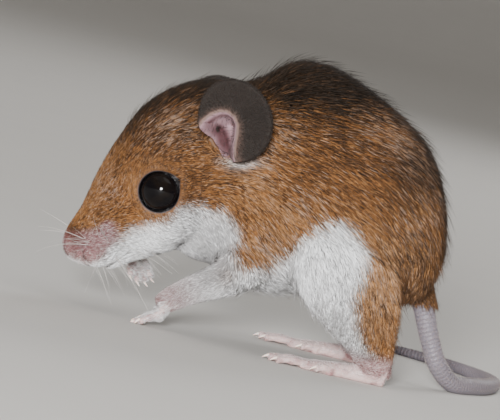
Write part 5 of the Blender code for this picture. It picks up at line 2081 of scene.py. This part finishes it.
def make_lights(settings):
    """A broad key beside the camera, a wide light above, one behind, and even light all round."""
    target = VIEW_CENTRE * MILLIMETRE + frame_shift()
    rows = (
        ("key_light", (-0.05, -0.56, 0.09), 0.1, settings.key_light),
        ("fill_light", (0.25, -0.1, 0.7), 0.7, settings.fill_light),
        ("rim_light", (0.3, 0.5, 0.35), 0.35, settings.fill_light * 1.4),
    )
    for name, place, size, power in rows:
        bpy.ops.object.light_add(type="AREA", location=target + Vector(place))
        light = bpy.context.object
        light.name = name
        light.data.shape = "DISK"
        light.data.size = size
        light.data.energy = power
        light.rotation_euler = (-Vector(place)).to_track_quat("-Z", "Y").to_euler()
    world = bpy.data.worlds.new("even_light")
    world.use_nodes = True
    sky = world.node_tree.nodes["Background"].inputs
    sky["Color"].default_value = (1.0, 0.98, 0.95, 1)
    sky["Strength"].default_value = settings.sky
    bpy.context.scene.world = world


def make_camera():
    """The camera at the photograph's angle, leaned by its roll."""
    right, above, towards = (Vector(axis) for axis in view_axes())
    place = (VIEW_CENTRE + towards * VIEW_DISTANCE) * MILLIMETRE + frame_shift()
    bpy.ops.object.camera_add()
    camera = bpy.context.object
    camera.name = "camera"
    camera.matrix_world = Matrix.Translation(place) @ Matrix((right, above, towards)).transposed().to_4x4()
    camera.data.lens = VIEW_LENS
    camera.data.sensor_width = 36.0
    camera.data.clip_start = 0.01
    camera.data.clip_end = 20.0
    bpy.context.scene.camera = camera


class MOUSE_PT_panel(bpy.types.Panel):
    """Lists the sizes and colours, and the steps in their order"""

    bl_idname = "MOUSE_PT_panel"
    bl_label = "Pygmy mouse"
    bl_space_type = "VIEW_3D"
    bl_region_type = "UI"
    bl_category = "Mouse"

    def draw(self, context):
        for group in (context.scene.mouse_coat, context.scene.mouse_hues, context.scene.mouse_stage):
            box = self.layout.box()
            for name in group.bl_rna.properties.keys():
                if name not in ("rna_type", "name"):
                    box.prop(group, name)
        for step_class in STEPS:
            self.layout.operator(step_class.bl_idname)


STEPS = (
    MOUSE_OT_skin,
    MOUSE_OT_coat,
    MOUSE_OT_eyes,
    MOUSE_OT_whiskers,
    MOUSE_OT_claws,
    MOUSE_OT_dress,
    MOUSE_OT_stage,
)
CLASSES = (MouseHues, MouseCoat, MouseStage, *STEPS, MOUSE_PT_panel)


def register():
    for one in CLASSES:
        bpy.utils.register_class(one)
    bpy.types.Scene.mouse_hues = bpy.props.PointerProperty(type=MouseHues)
    bpy.types.Scene.mouse_coat = bpy.props.PointerProperty(type=MouseCoat)
    bpy.types.Scene.mouse_stage = bpy.props.PointerProperty(type=MouseStage)


def unregister():
    del bpy.types.Scene.mouse_stage
    del bpy.types.Scene.mouse_coat
    del bpy.types.Scene.mouse_hues
    for one in reversed(CLASSES):
        bpy.utils.unregister_class(one)


def main():
    register()
    for obj in bpy.context.selected_objects:
        obj.select_set(False)
    bpy.ops.mouse.skin()
    bpy.ops.mouse.coat()
    bpy.ops.mouse.eyes()
    bpy.ops.mouse.whiskers()
    bpy.ops.mouse.claws()
    bpy.ops.mouse.dress()
    bpy.ops.mouse.stage()


if __name__ == "__main__":
    main()
